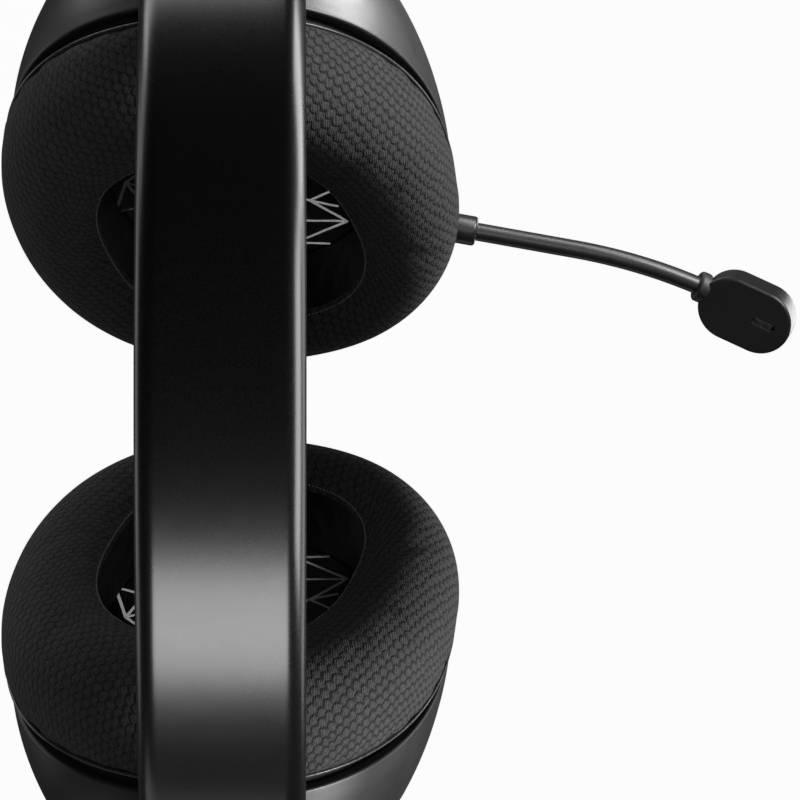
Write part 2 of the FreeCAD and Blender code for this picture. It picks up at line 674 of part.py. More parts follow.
def left_shell():
    """The left shell with its openings for the controls, ports and microphone."""
    shell = plain_shell()
    half = V(WHEEL_T / 2 + 0.3, 0, 0)
    shell = shell.cut(cylinder(WHEEL_R + 0.4, WHEEL_CENTRE - half, WHEEL_CENTRE + half))
    for y, z in STANDOFF_SPOTS:
        shell = shell.fuse(cylinder(1.8, V(BOARD_X[1], y, z), V(SHELL_BACK - 3, y, z)))
    for z in (POWER_Z, MUTE_Z):
        shell = shell.cut(wall_rod(BUTTON_R + 0.15, -3.6, 5, z)).cut(wall_rod(BUTTON_R + 0.9, -6, -3.1, z))
    shell = shell.cut(wall_rod(1.0, -6, 5, LIGHT_Z))
    mouth = lower_edge(JACK_X, JACK_Y)
    shell = shell.cut(cylinder(JACK_R, V(JACK_X, JACK_Y, mouth - 5), V(JACK_X, JACK_Y, mouth + 18)))
    shell = shell.cut(usb_prism(0.35, lower_edge(JACK_X, USB_Y + 3) - 5, mouth + 14))
    collar = cylinder(SOCKET_R, to_cup(COLLAR_ROOT - MIC_AXIS * 16), to_cup(COLLAR_ROOT + MIC_AXIS * 8))
    return shell.cut(collar)


def circuit_board():
    """Main board behind the driver, clear of the ports."""
    front, back = BOARD_X
    board = box((front, -20, -24), (back, 21.5, 24))
    chips = [box((back, -12, 4), (back + 1.4, -2, 14)), box((back, 4, -10), (back + 1.2, 12, -2)),
             box((back, -10, -18), (back + 1.0, -5, -12))]
    return board.fuse(chips).removeSplitter()


def battery():
    floor = SHELL_BACK - 3.6
    cell = box((floor - 5.6, -16, -22), (floor, 16, 22))
    return cell.makeFillet(1.2, cell.Edges)


# ================= microphone =================

def mic_plug():
    """Plug pin with the ring grooves between its contacts."""
    tip = COLLAR_ROOT - MIC_AXIS * PLUG_LENGTH
    pin = cylinder(PLUG_R, tip + MIC_AXIS * 1.2, COLLAR_ROOT + MIC_AXIS * 2)
    nose = Part.makeCone(PLUG_R * 0.5, PLUG_R, 1.2, tip, MIC_AXIS)
    pin = pin.fuse(nose)
    for at in (3.5, 6.0, 8.5):
        ring = cylinder(PLUG_R + 1, tip + MIC_AXIS * at, tip + MIC_AXIS * (at + 0.4))
        ring = ring.cut(cylinder(PLUG_R - 0.12, tip, COLLAR_ROOT))
        pin = pin.cut(ring)
    return pin.removeSplitter()


def mic_collar():
    """Plug body that seats against the cup."""
    collar = cylinder(COLLAR_R, COLLAR_ROOT, COLLAR_END)
    collar = collar.makeFillet(0.7, [e for e in collar.Edges if (e.CenterOfMass - COLLAR_END).Length < 0.01])
    pin_hole = cylinder(PLUG_R, COLLAR_ROOT - MIC_AXIS, COLLAR_ROOT + MIC_AXIS * 2)
    boom_hole = cylinder(BOOM_R, COLLAR_END - MIC_AXIS * 4, COLLAR_END + MIC_AXIS)
    return collar.cut(pin_hole).cut(boom_hole)


def boom_bend():
    """Start, centre, axis and angle of the boom's arc, which follows a straight run from the collar."""
    start = COLLAR_END + MIC_AXIS * BOOM_RUN
    chord = BOOM_END - start
    sideways = chord - MIC_AXIS * chord.dot(MIC_AXIS)
    radius = chord.dot(chord) / (2 * sideways.Length)
    angle = 2 * math.degrees(math.asin(chord.Length / (2 * radius)))
    return start, start + sideways.normalize() * radius, MIC_AXIS.cross(chord).normalize(), angle


def boom_direction():
    """The boom's direction where it meets the neck ring."""
    start, centre, axis, angle = boom_bend()
    return FreeCAD.Rotation(axis, angle).multVec(MIC_AXIS)


def mic_boom():
    """Flexible boom: a straight run whose root lies in the collar, then one gentle arc."""
    start, centre, axis, angle = boom_bend()
    section = Part.Face(Part.Wire(Part.makeCircle(BOOM_R, start, MIC_AXIS)))
    run = section.extrude(MIC_AXIS * -(BOOM_RUN + 4))
    return section.revolve(centre, axis, angle).fuse(run).removeSplitter()


CAPSULE_UP = V(CAPSULE_NORMAL).normalize()
plan = V(-math.sin(math.radians(CAPSULE_TURN)), -math.cos(math.radians(CAPSULE_TURN)), 0)
CAPSULE_LONG = V(plan.x, plan.y, -plan.dot(CAPSULE_UP) / CAPSULE_UP.z).normalize()
CAPSULE_SIDE = CAPSULE_UP.cross(CAPSULE_LONG).normalize()
CAPSULE_T = CAPSULE_FRONT_T + CAPSULE_BACK_T
CAPSULE_SEAM = CAPSULE_BACK_T - CAPSULE_T / 2


def stadium(length, width, low, high, shift=0.0):
    """A flat-sided oval prism in the capsule's frame, between two heights along its normal."""
    def at(u, v, h):
        return CAPSULE_CENTRE + CAPSULE_LONG * (u + shift) + CAPSULE_SIDE * v + CAPSULE_UP * h
    r = width / 2
    run = length / 2 - r
    edges = [Part.makeLine(at(-run, r, low), at(run, r, low)),
             Part.Arc(at(run, r, low), at(run + r, 0, low), at(run, -r, low)).toShape(),
             Part.makeLine(at(run, -r, low), at(-run, -r, low)),
             Part.Arc(at(-run, -r, low), at(-run - r, 0, low), at(-run, r, low)).toShape()]
    return Part.Face(Part.Wire(edges)).extrude(CAPSULE_UP * (high - low))


def mic_neck():
    """Ring at the boom's end, with a short tail into the capsule."""
    end = BOOM_END + boom_direction() * NECK_T
    ring = cylinder(NECK_R, BOOM_END, end)
    tail = cylinder(NECK_R - 1.0, end, end + boom_direction() * 3.0)
    return ring.fuse(tail).cut(capsule_block()).removeSplitter()


def capsule_block():
    return stadium(CAPSULE_LENGTH, CAPSULE_WIDTH, -CAPSULE_T / 2, CAPSULE_T / 2)


def capsule_front():
    """Deeper half of the capsule, with the sound slot in its face."""
    body = stadium(CAPSULE_LENGTH, CAPSULE_WIDTH, CAPSULE_SEAM, CAPSULE_T / 2)
    body = rounded(body, 0.35, lambda p: (p - CAPSULE_CENTRE).dot(CAPSULE_UP) > CAPSULE_T / 2 - 0.01)
    hollow = stadium(CAPSULE_LENGTH - 2.6, CAPSULE_WIDTH - 2.6, CAPSULE_SEAM - 1, CAPSULE_T / 2 - 1.2)
    slot = stadium(SLOT_LENGTH, SLOT_WIDTH, 0, CAPSULE_T, shift=SLOT_SHIFT)
    return body.cut(hollow).cut(slot)


def capsule_back():
    body = stadium(CAPSULE_LENGTH - 0.4, CAPSULE_WIDTH - 0.4, -CAPSULE_T / 2, CAPSULE_SEAM)
    return rounded(body, 0.5, lambda p: (p - CAPSULE_CENTRE).dot(CAPSULE_UP) < -CAPSULE_T / 2 + 0.01)


def mic_element():
    base = CAPSULE_CENTRE + CAPSULE_LONG * 3.0 + CAPSULE_UP * CAPSULE_SEAM
    return cylinder(3.0, base, base + CAPSULE_UP * 2.2)


# ================= build =================

def build_headband():
    save(band_cover(), "band_cover")
    save(band_strip(SPRING_HALF, SPRING, SPRING_STOP), "band_spring")
    save(band_strip(LINER_HALF, LINER, LINER_STOP), "band_liner")
    save(crown_cushion(), "crown_cushion")
    save(crossover_cable(), "crossover_cable")
    save(band_screws(), "band_screws")
    save_pair(screw_holes_in(slider_housing()), "slider_housing")
    save_pair(detent_spring(), "detent_spring")


def build_hinges():
    arm = sliding_arm()
    save_pair(arm, "sliding_arm")
    save_pair(arm_foot(arm), "arm_foot")
    save_pair(swivel_fork(), "swivel_fork")
    save_pair(swivel_clip(), "swivel_clip")
    save_pair(tilt_pin(), "tilt_pin")


def build_cups():
    right = in_row(plain_shell())
    save(in_row(left_shell()), "cup_shell_left")
    save(right.mirror(V(0, 0, 0), MIRROR_NORMAL), "cup_shell_right")
    pieces = {
        "outer_plate": outer_plate(), "baffle": baffle(), "cup_screws": cup_screws(),
        "driver_frame": driver_frame(), "driver_magnet": driver_magnet(),
        "driver_diaphragm": driver_diaphragm(), "cushion_ring": cushion_ring(),
        "speaker_scrim": speaker_scrim(), "ear_cushion": ear_cushion()}
    for node, shape in pieces.items():
        save_pair(in_row(shape), node)
    save(in_row(circuit_board()), "circuit_board")
    save(in_row(battery()).mirror(V(0, 0, 0), MIRROR_NORMAL), "battery")


def build_controls():
    save(in_row(volume_wheel()), "volume_wheel")
    save(in_row(wheel_axle()), "wheel_axle")
    save(in_row(control_frame()), "control_frame")
    save(in_row(button_switches()), "button_switches")
    save(in_row(push_button(POWER_Z)), "power_button")
    save(in_row(push_button(MUTE_Z)), "mute_button")
    save(in_row(status_light()), "status_light")
    save(in_row(audio_jack()), "audio_jack")
    save(in_row(usb_port()), "usb_port")
    save(mic_socket(), "mic_socket")


def build_microphone():
    save(mic_plug(), "mic_plug")
    save(mic_collar(), "mic_collar")
    save(mic_boom(), "mic_boom")
    save(mic_neck(), "mic_neck")
    save(capsule_front(), "capsule_front")
    save(capsule_back(), "capsule_back")
    save(mic_element(), "mic_element")


os.makedirs("parts", exist_ok=True)
build_headband()
build_hinges()
build_cups()
build_controls()
build_microphone()
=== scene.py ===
import json
import math
from itertools import product

import bmesh
import bpy
import numpy as np
from mathutils import Matrix, Vector

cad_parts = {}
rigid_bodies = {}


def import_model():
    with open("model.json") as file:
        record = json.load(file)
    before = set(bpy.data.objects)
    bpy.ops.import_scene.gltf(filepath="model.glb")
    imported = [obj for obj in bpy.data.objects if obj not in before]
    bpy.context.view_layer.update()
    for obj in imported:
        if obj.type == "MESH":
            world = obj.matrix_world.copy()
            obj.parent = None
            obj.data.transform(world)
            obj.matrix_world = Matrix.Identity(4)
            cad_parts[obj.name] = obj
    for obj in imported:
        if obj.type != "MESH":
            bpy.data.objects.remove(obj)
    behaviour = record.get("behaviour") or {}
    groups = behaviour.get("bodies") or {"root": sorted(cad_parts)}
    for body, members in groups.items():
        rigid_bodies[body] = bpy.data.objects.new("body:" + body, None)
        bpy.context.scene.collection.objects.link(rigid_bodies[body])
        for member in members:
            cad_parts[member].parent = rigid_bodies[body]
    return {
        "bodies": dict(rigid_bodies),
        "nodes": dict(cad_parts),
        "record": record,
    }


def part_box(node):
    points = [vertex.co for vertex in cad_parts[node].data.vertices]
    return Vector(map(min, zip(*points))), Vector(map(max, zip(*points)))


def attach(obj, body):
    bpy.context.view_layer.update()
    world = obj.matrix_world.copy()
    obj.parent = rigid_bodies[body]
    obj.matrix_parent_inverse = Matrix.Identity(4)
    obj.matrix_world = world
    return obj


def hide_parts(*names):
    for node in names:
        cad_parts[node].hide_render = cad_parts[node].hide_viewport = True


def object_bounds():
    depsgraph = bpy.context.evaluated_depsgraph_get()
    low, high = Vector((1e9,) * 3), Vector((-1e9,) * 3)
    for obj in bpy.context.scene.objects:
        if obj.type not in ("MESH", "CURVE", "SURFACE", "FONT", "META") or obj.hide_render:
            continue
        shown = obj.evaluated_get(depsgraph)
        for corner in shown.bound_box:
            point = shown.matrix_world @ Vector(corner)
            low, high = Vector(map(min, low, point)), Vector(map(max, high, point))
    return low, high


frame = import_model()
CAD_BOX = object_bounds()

# Wireless gaming headset. Lengths are in millimetres until a mesh is made, and metres after that.
# +X is the wearer's left, -Y the wearer's front, +Z up. Pieces are built for the left cup and mirrored.
MM = 0.001
SIDES = ("left", "right")

# ---- headband ----
CROWN_TOP = 14.5
CROWN_R = 88.0
CROWN_ANGLE = math.radians(58)
SHOULDER_R = 55.0
LEG_LEAN = math.radians(3)
BAND_HALF = 14.55
FLAT_HALF = 10.7
SHOULDER_DROP = 3.9
COVER_WALL = 1.6
LIP_DEPTH = 5.8
COVER_END = 20.0
CUSHION_ANGLE = math.radians(50)
CUSHION_HALF = 13.0
CUSHION_DEPTHS = (6.2, 14.4)
ARM_DEPTH = 3.6
PIVOT_AT = 34.85

# ---- ear cups, in their own frame: x outward, y back, z up the cup ----
CUP_LEAN = math.radians(29)
PIVOT_IN_CUP = Vector((7.8, 0.7, 50.0))
OVAL = {"size": (41.2, 51.0), "power": 2.27, "lean": math.radians(9.9), "centre": (0.0, 0.0)}
SHELL_OVAL = {**OVAL, "size": (41.3, 51.1), "centre": (-0.1, 0.0)}
OPENING = {"size": (23.8, 30.85), "power": 2.5, "lean": math.radians(15.6), "centre": (0.0, -3.0)}
RIM_X = 2.75
SHELL_BACK = 25.0
SHELL_WALL = 2.0
TAPER = (1.7, 5.6)
TAPER_DEPTH = 25.0
PLATE_INSET = 2.2
POCKET_LOW = Vector((-2.0, -7.5, 43.5))
POCKET_HIGH = Vector((15.5, 8.9, 70.0))
POCKET_WALL = 2.0
CONTROL_X = 13.0
AROUND = 256              # points round a cup

# ---- microphone ----
COLLAR_END = Vector((33.45, -48.9, -171.0))
MIC_TURN = math.radians(10.1)
MIC_AXIS = Vector((-math.sin(MIC_TURN), -math.cos(MIC_TURN), 0))
COLLAR_LENGTH = 17.0
COLLAR_R = 2.95
BOOM_R = 1.8
BOOM_RUN = 19.9           # straight length beyond the collar
BOOM_END = Vector((22.9, -92.85, -173.5))
NECK_R = 3.1
NECK_T = 2.4
CAPSULE_CENTRE = Vector((17.75, -103.05, -174.0))
CAPSULE_TURN = math.radians(25)
CAPSULE_NORMAL = Vector((-0.313, 0.276, 0.909))
CAPSULE_SIZE = (19.5, 13.1)
CAPSULE_FRONT_T = 4.6
CAPSULE_BACK_T = 2.4
SLOT = (4.9, 1.4)
SLOT_SHIFT = 4.1

# ---- camera and floor ----
CAMERA_ABOVE_CROWN = 1000.0
CAMERA_Y = -11.26
CAMERA_TILT = math.radians(1.084)
LENS = 268.65
SENSOR = 36.0
FLOOR_BELOW = 0.07        # clear of the cups and the microphone in every pose


# ================= mesh helpers =================

def mesh_from(name, points, faces, mirror=False):
    """A mesh from points in millimetres; mirror makes the right-hand copy."""
    points = np.array(points, float) * MM
    if mirror:
        points = points * (-1, 1, 1)
        faces = [tuple(reversed(f)) for f in faces]
    mesh = bpy.data.meshes.new(name)
    mesh.from_pydata(points.tolist(), [], faces)
    mesh.validate()
    return mesh


def show(name, mesh):
    piece = bpy.data.objects.new(name, mesh)
    bpy.context.scene.collection.objects.link(piece)
    return piece


def smooth(piece, sharp_angle=40):
    piece.data.shade_smooth()
    piece.data.set_sharp_from_angle(angle=math.radians(sharp_angle))
    return piece


def apply_modifiers(piece):
    """Replaces a piece's mesh by its evaluated one."""
    graph = bpy.context.evaluated_depsgraph_get()
    graph.update()
    mesh = bpy.data.meshes.new_from_object(piece.evaluated_get(graph))
    piece.modifiers.clear()
    piece.data = mesh
    return piece


def bevel(piece, width, segments=2, angle=40):
    m = piece.modifiers.new("bevel", "BEVEL")
    m.width = width * MM
    m.segments = segments
    m.limit_method = "ANGLE"
    m.angle_limit = math.radians(angle)
    m.harden_normals = False
    return piece


def even_normals(piece, sharp_angle=40):
    """Smooth shading that keeps the large flat faces flat."""
    smooth(piece, sharp_angle)
    m = piece.modifiers.new("normals", "WEIGHTED_NORMAL")
    m.keep_sharp = True
    return apply_modifiers(piece)


def subdivide(piece):
    m = piece.modifiers.new("subdivision", "SUBSURF")
    m.levels = m.render_levels = 1
    return apply_modifiers(piece)


def combine(piece, tool, operation):
    """Boolean of two closed pieces; the tool is removed."""
    m = piece.modifiers.new("boolean", "BOOLEAN")
    m.object = tool
    m.operation = operation
    m.solver = "EXACT"
    apply_modifiers(piece)
    bpy.data.objects.remove(tool)
    return piece


def strip_faces(rows, cols, close_rows=False):
    """Quads between closed rows of points; close_rows joins the last row to the first."""
    faces = []
    for r in range(rows if close_rows else rows - 1):
        for c in range(cols):
            r2, c2 = (r + 1) % rows, (c + 1) % cols
            faces.append((r * cols + c, r * cols + c2, r2 * cols + c2, r2 * cols + c))
    return faces


def end_faces(rows, cols):
    """The first and the last row of points, each as one face."""
    last = (rows - 1) * cols
    return [tuple(range(cols)), tuple(range(last, last + cols))]


def ring(centre, side, up, radius, around):
    """Points of a circle round a centre, in the plane of two directions."""
    turns = [2 * math.pi * i / around for i in range(around)]
    return [centre + (side * math.cos(a) + up * math.sin(a)) * radius for a in turns]


def outward(mesh):
    """Turns a closed mesh's faces outward."""
    bm = bmesh.new()
    bm.from_mesh(mesh)
    bmesh.ops.recalc_face_normals(bm, faces=bm.faces)
    bm.to_mesh(mesh)
    bm.free()
    return mesh


def finish_piece(piece, body, material, stands_for=()):
    """Gives a piece its material, unless it has some, and fixes it to its body."""
    if not piece.data.materials:
        piece.data.materials.append(material)
    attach(piece, body)
    if stands_for:
        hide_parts(*stands_for)
    return piece


def box_tool(low, high):
    """A closed box between two corners given in the cup's frame."""
    corners = [cup_to_row(Vector(c)) for c in product(*zip(low, high))]
    faces = [(0, 1, 3, 2), (4, 6, 7, 5), (0, 4, 5, 1), (2, 3, 7, 6), (0, 2, 6, 4), (1, 5, 7, 3)]
    return show("tool", outward(mesh_from("tool", corners, faces)))


def quarter_turn(steps):
    """Angles from 0 to 90 degrees in even steps."""
    return [math.pi / 2 * i / steps for i in range(steps + 1)]


def rounded_rod(length, radius, edge):
    """Profile of a turned rod with rounded ends."""
    turns = quarter_turn(4)
    low = [(edge * (1 - math.sin(a)), radius - edge * (1 - math.cos(a))) for a in reversed(turns)]
    high = [(length - edge * (1 - math.sin(a)), radius - edge * (1 - math.cos(a))) for a in turns]
    return low + high


def turned(name, profile, start, axis, around=64):
    """A turned solid: profile is (distance along the axis, radius) pairs."""
    axis = axis.normalized()
    side = axis.orthogonal().normalized()
    up = axis.cross(side)
    points = []
    for along, radius in profile:
        points += ring(start + axis * along, side, up, radius, around)
    faces = strip_faces(len(profile), around) + end_faces(len(profile), around)
    return show(name, outward(mesh_from(name, points, faces)))


# ================= shapes shared with the CAD =================

def band_spine(s):
    """Outer point, outward normal of the band's curve at a distance from the crown (left side)."""
    crown_length = CROWN_R * CROWN_ANGLE
    shoulder_turn = math.pi / 2 + LEG_LEAN - CROWN_ANGLE
    shoulder_length = SHOULDER_R * shoulder_turn
    crown_centre = Vector((0, 0, CROWN_TOP - CROWN_R))
    side = math.copysign(1, s)
    d = abs(s)
    if d <= crown_length:
        a = d / CROWN_R
        normal = Vector((math.sin(a), 0, math.cos(a)))
        point = crown_centre + normal * CROWN_R
    else:
        turn = Vector((math.sin(CROWN_ANGLE), 0, math.cos(CROWN_ANGLE)))
        centre = crown_centre + turn * (CROWN_R - SHOULDER_R)
        a = CROWN_ANGLE + min(d - crown_length, shoulder_length) / SHOULDER_R
        normal = Vector((math.sin(a), 0, math.cos(a)))
        down = Vector((math.cos(a), 0, -math.sin(a)))
        point = centre + normal * SHOULDER_R + down * max(d - crown_length - shoulder_length, 0)
    flip = Vector((side, 1, 1))
    return point * flip, normal * flip


LEG_START = CROWN_R * CROWN_ANGLE + SHOULDER_R * (math.pi / 2 + LEG_LEAN - CROWN_ANGLE)


def band_point(s, y, depth):
    point, normal = band_spine(s)
    return point - normal * depth + Vector((0, y, 0))


PIVOT = band_point(LEG_START + PIVOT_AT, 0, ARM_DEPTH)
CUP_TURN = Matrix.Rotation(CUP_LEAN, 3, "Y")


def cup_to_row(point):
    """A point of the left cup's frame in the row frame."""
    return PIVOT + CUP_TURN @ (Vector(point) - PIVOT_IN_CUP)


def outline(count, size, power, lean, centre, grow=0.0):
    """Evenly spaced points (y, z) round a leaning superellipse."""
    t = np.linspace(0, 2 * np.pi, 4001)
    c, s = np.cos(t), np.sin(t)
    y = (size[0] + grow) * np.sign(c) * np.abs(c) ** (2 / power)
    z = (size[1] + grow) * np.sign(s) * np.abs(s) ** (2 / power)
    points = np.stack([centre[0] + y * math.cos(lean) + z * math.sin(lean),
                       centre[1] - y * math.sin(lean) + z * math.cos(lean)], 1)
    run = np.concatenate([[0], np.cumsum(np.linalg.norm(np.diff(points, axis=0), axis=1))])
    at = np.linspace(0, run[-1], count, endpoint=False)
    return np.stack([np.interp(at, run, points[:, 0]), np.interp(at, run, points[:, 1])], 1)


def outline_normals(points):
    """Outward unit normals of a closed outline."""
    d = np.roll(points, -1, 0) - np.roll(points, 1, 0)
    n = np.stack([d[:, 1], -d[:, 0]], 1)
    return n / np.linalg.norm(n, axis=1, keepdims=True)


def taper(x):
    t = (x - RIM_X) / TAPER_DEPTH
    return TAPER[0] * t + TAPER[1] * t * t


def shell_rings(profile):
    """Rings of row-frame points: profile is (x, inset) pairs along the cup's axis."""
    points = []
    for x, inset in profile:
        points += [cup_to_row((x, y, z)) for y, z in outline(AROUND, grow=-inset, **SHELL_OVAL)]
    return points


# ================= materials =================

class Paint:
    """A principled material and short ways to add nodes to it."""

    def __init__(self, name, color, roughness, **sockets):
        self.material = bpy.data.materials.new(name)
        self.material.use_nodes = True
        self.tree = self.material.node_tree
        self.shader = self.tree.nodes["Principled BSDF"]
        self.set(self.shader, "Base Color", (*color, 1))
        self.set(self.shader, "Roughness", roughness)
        for socket, value in sockets.items():
            self.set(self.shader, socket.replace("_", " "), value)

    def set(self, node, socket, value):
        if isinstance(value, bpy.types.NodeSocket):
            self.tree.links.new(value, node.inputs[socket])
        else:
            node.inputs[socket].default_value = value

    def node(self, kind, inputs=None, **settings):
        node = self.tree.nodes.new("ShaderNode" + kind)
        for key, value in settings.items():
            setattr(node, key, value)
        for socket, value in (inputs or {}).items():
            self.set(node, socket, value)
        return node

    def place(self):
        return self.node("TexCoord").outputs["Object"]

    def noise(self, scale, detail=2.0, place=None, roughness=0.5):
        return self.node("TexNoise", {"Vector": place or self.place(), "Scale": scale, "Detail": detail,
                                      "Roughness": roughness}).outputs["Fac"]

    def math(self, operation, a, b=0.0):
        return self.node("Math", {0: a, 1: b}, operation=operation).outputs[0]

    def vector(self, operation, a, b=(0, 0, 0)):
        """Vector maths; a dot product or a length gives its number."""
        found = self.node("VectorMath", {0: a, 1: b}, operation=operation).outputs
        return found["Value" if operation in ("DOT_PRODUCT", "LENGTH") else "Vector"]

    def spread(self, value, low, high, to_low, to_high):
        return self.node("MapRange", {"Value": value, "From Min": low, "From Max": high, "To Min": to_low,
                                      "To Max": to_high}).outputs[0]

    def blend(self, share, a, b):
        """A colour between two, where each is a triple or a socket."""
        node = self.node("Mix", data_type="RGBA")
        self.set(node, "Factor", share)
        for socket, value in ((6, a), (7, b)):
            self.set(node, socket, value if isinstance(value, bpy.types.NodeSocket) else (*value, 1))
        return node.outputs[2]

    def relief(self, height, distance):
        """Adds bump: height from 0 to 1 over a distance in millimetres."""
        bump = self.node("Bump", {"Height": height, "Distance": distance * MM, "Strength": 1.0})
        self.set(self.shader, "Normal", bump.outputs[0])


def moulded(name, color, roughness, grain, depth, speckle=0.0, uneven=1.0):
    """Moulded or painted plastic: fine grain, uneven gloss and faint handling marks."""
    paint = Paint(name, color, roughness)
    place = paint.place()
    fine = paint.noise(grain, 3.0, place)
    broad = paint.noise(38.0, 4.0, place)
    smear = paint.noise(240.0, 5.0, place, 0.65)
    gloss = paint.math("ADD", paint.spread(broad, 0.3, 0.7, -0.035 * uneven, 0.035 * uneven),
                       paint.spread(smear, 0.35, 0.75, -0.02 * uneven, 0.035 * uneven))
    paint.set(paint.shader, "Roughness", paint.math("ADD", gloss, roughness))
    light = tuple(c * (1.5 + speckle) + speckle * 0.02 for c in color)
    dark = tuple(c * 0.75 for c in color)
    paint.set(paint.shader, "Base Color", paint.blend(paint.spread(fine, 0.42, 0.62, 0, 1), dark, light))
    paint.relief(fine, depth)
    return paint.material


def brushed_metal(name, color, roughness):
    paint = Paint(name, color, roughness, Metallic=1.0)
    place = paint.place()
    stretched = paint.node("Mapping", {"Vector": place, "Scale": (1.0, 14.0, 1.0)}).outputs[0]
    streak = paint.noise(420.0, 4.0, stretched)
    paint.set(paint.shader, "Roughness", paint.spread(streak, 0.3, 0.7, roughness - 0.08, roughness + 0.1))
    paint.relief(streak, 0.01)
    return paint.material


KNIT_CELL = 2.1           # width of one knitted cell
STRAND_PITCH = 0.48
WEAVE_PITCH = 0.5
SHADE_SIDE = (0.80, -0.60, 0)    # the side of each cell, away from the light, where its loop is darkened with painted shade


def knit_fabric(name, color):
    """Airy knit: staggered soft cells, each with a loop darkened by painted shade on the side away from the
    light, and fine strands inside.
    """
    cell = KNIT_CELL
    paint = Paint(name, color, 0.9, Specular_IOR_Level=0.22, Sheen_Weight=0.06, Sheen_Roughness=0.5)
    weave = paint.node("Attribute", attribute_name="weave").outputs["Vector"]
    place = weave
    for scale, reach in ((0.25, 1.3), (1.0, 0.6), (3.2, 0.2)):
        wobble = paint.node("TexNoise", {"Vector": weave, "Scale": scale, "Detail": 1.0}).outputs["Color"]
        offset = paint.vector("SUBTRACT", wobble, (0.5, 0.5, 0.5))
        place = paint.vector("ADD", place, paint.vector("MULTIPLY", offset, (reach, reach, 0)))
    pitch = (cell, cell * math.sqrt(3), 1.0)
    shaded_loops, pillows = [], []
    for shift in ((0, 0, 0), (pitch[0] / 2, pitch[1] / 2, 0)):
        cells = paint.vector("DIVIDE", paint.vector("ADD", place, shift), pitch)
        centred = paint.vector("SUBTRACT", paint.vector("FRACTION", cells), (0.5, 0.5, 0))
        local = paint.vector("MULTIPLY", centred, (*pitch[:2], 0))
        radius = paint.vector("LENGTH", local)
        away = paint.math("ABSOLUTE", paint.math("SUBTRACT", radius, cell * 0.47))
        ring = paint.spread(away, cell * 0.05, cell * 0.16, 1, 0)
        # painted shade: each loop is kept only on the side of its cell away from the light
        along = paint.vector("DOT_PRODUCT", local, SHADE_SIDE)
        share = paint.math("DIVIDE", along, paint.math("MAXIMUM", radius, 0.05))
        shaded_loops.append(paint.math("MULTIPLY", ring, paint.spread(share, -0.2, 0.5, 0, 1)))
        pillows.append(paint.spread(radius, 0, cell * 0.62, 1, 0))
    loop = paint.math("MAXIMUM", *shaded_loops)
    pillow = paint.math("MAXIMUM", *pillows)
    strand_at = paint.vector("DOT_PRODUCT", place, (2 * math.pi / STRAND_PITCH, 2.2, 0))
    strand = paint.spread(paint.math("SINE", strand_at), -1, 1, 0, 1)
    fuzz = paint.node("TexNoise", {"Vector": place, "Scale": 2.6, "Detail": 3.0}).outputs["Fac"]
    # the loops' hollow: painted shade in the colour below, and real depth in the bump
    depth = paint.math("MULTIPLY", loop, paint.spread(fuzz, 0.35, 0.6, 0.45, 1.0))
    tone = paint.math("ADD", paint.math("MULTIPLY", strand, paint.spread(fuzz, 0.35, 0.6, 0.1, 0.85)),
                      paint.math("MULTIPLY", pillow, 0.35))
    tone = paint.math("ADD", tone, paint.spread(fuzz, 0.3, 0.7, -0.15, 0.35))
    thread_color = paint.blend(tone, tuple(c * 0.5 for c in color), tuple(c * 1.4 for c in color))
    # painted shade: the colour darkens in each loop on its shaded side
    paint.set(paint.shader, "Base Color", paint.blend(depth, thread_color, tuple(c * 0.22 for c in color)))
    height = paint.math("ADD", paint.math("MULTIPLY", pillow, 0.45), paint.math("MULTIPLY", strand, 0.22))
    paint.relief(paint.math("SUBTRACT", height, paint.math("MULTIPLY", depth, 0.7)), 0.3)
    return paint.material


def plain_cloth(name, color):
    """Fine woven cloth: two crossing sets of threads."""
    paint = Paint(name, color, 0.9, Specular_IOR_Level=0.2, Sheen_Weight=0.1)
    place = paint.place()
    rate = 2 * math.pi / (WEAVE_PITCH * MM)
    directions = ((0, rate, 0), (rate * 0.5, 0, rate * 0.87))
    threads = [paint.math("SINE", paint.vector("DOT_PRODUCT", place, d)) for d in directions]
    height = paint.spread(paint.math("MULTIPLY", threads[0], threads[1]), -1, 1, 0, 1)
    paint.set(paint.shader, "Base Color", paint.blend(height, tuple(c * 0.4 for c in color), color))
    paint.relief(height, 0.1)
    return paint.material


def thread(name, color):
    paint = Paint(name, color, 0.7, Sheen_Weight=0.2)
    twist = paint.noise(2600.0, 3.0)
    paint.set(paint.shader, "Base Color", paint.blend(twist, tuple(c * 0.5 for c in color), color))
    paint.relief(twist, 0.05)
    return paint.material


BAND = moulded("band_satin", (0.0022, 0.0022, 0.0024), 0.28, grain=3400.0, depth=0.006, speckle=0.05,
               uneven=0.3)
SHELL = moulded("shell_satin", (0.012, 0.012, 0.0125), 0.40, grain=3600.0, depth=0.010)
PLATE = moulded("plate_satin", (0.011, 0.011, 0.0115), 0.38, grain=3600.0, depth=0.008)
TRIM = moulded("trim_fine_texture", (0.012, 0.012, 0.0125), 0.52, grain=2600.0, depth=0.02)
INNER = moulded("inner_matt", (0.004, 0.004, 0.004), 0.75, grain=1800.0, depth=0.03)
CAPSULE = moulded("capsule_satin", (0.011, 0.011, 0.0115), 0.42, grain=4200.0, depth=0.008)
RUBBER = moulded("boom_rubber", (0.014, 0.014, 0.0145), 0.38, grain=3000.0, depth=0.006)
CONTROL = moulded("control_texture", (0.015, 0.015, 0.0155), 0.48, grain=3000.0, depth=0.02)
BOARD = moulded("board_lacquer", (0.01, 0.07, 0.03), 0.35, grain=900.0, depth=0.01)
WRAP = moulded("battery_wrap", (0.04, 0.06, 0.16), 0.3, grain=900.0, depth=0.005)
FILM = moulded("diaphragm_film", (0.05, 0.05, 0.05), 0.25, grain=900.0, depth=0.005)
STEEL = brushed_metal("brushed_steel", (0.45, 0.45, 0.46), 0.32)
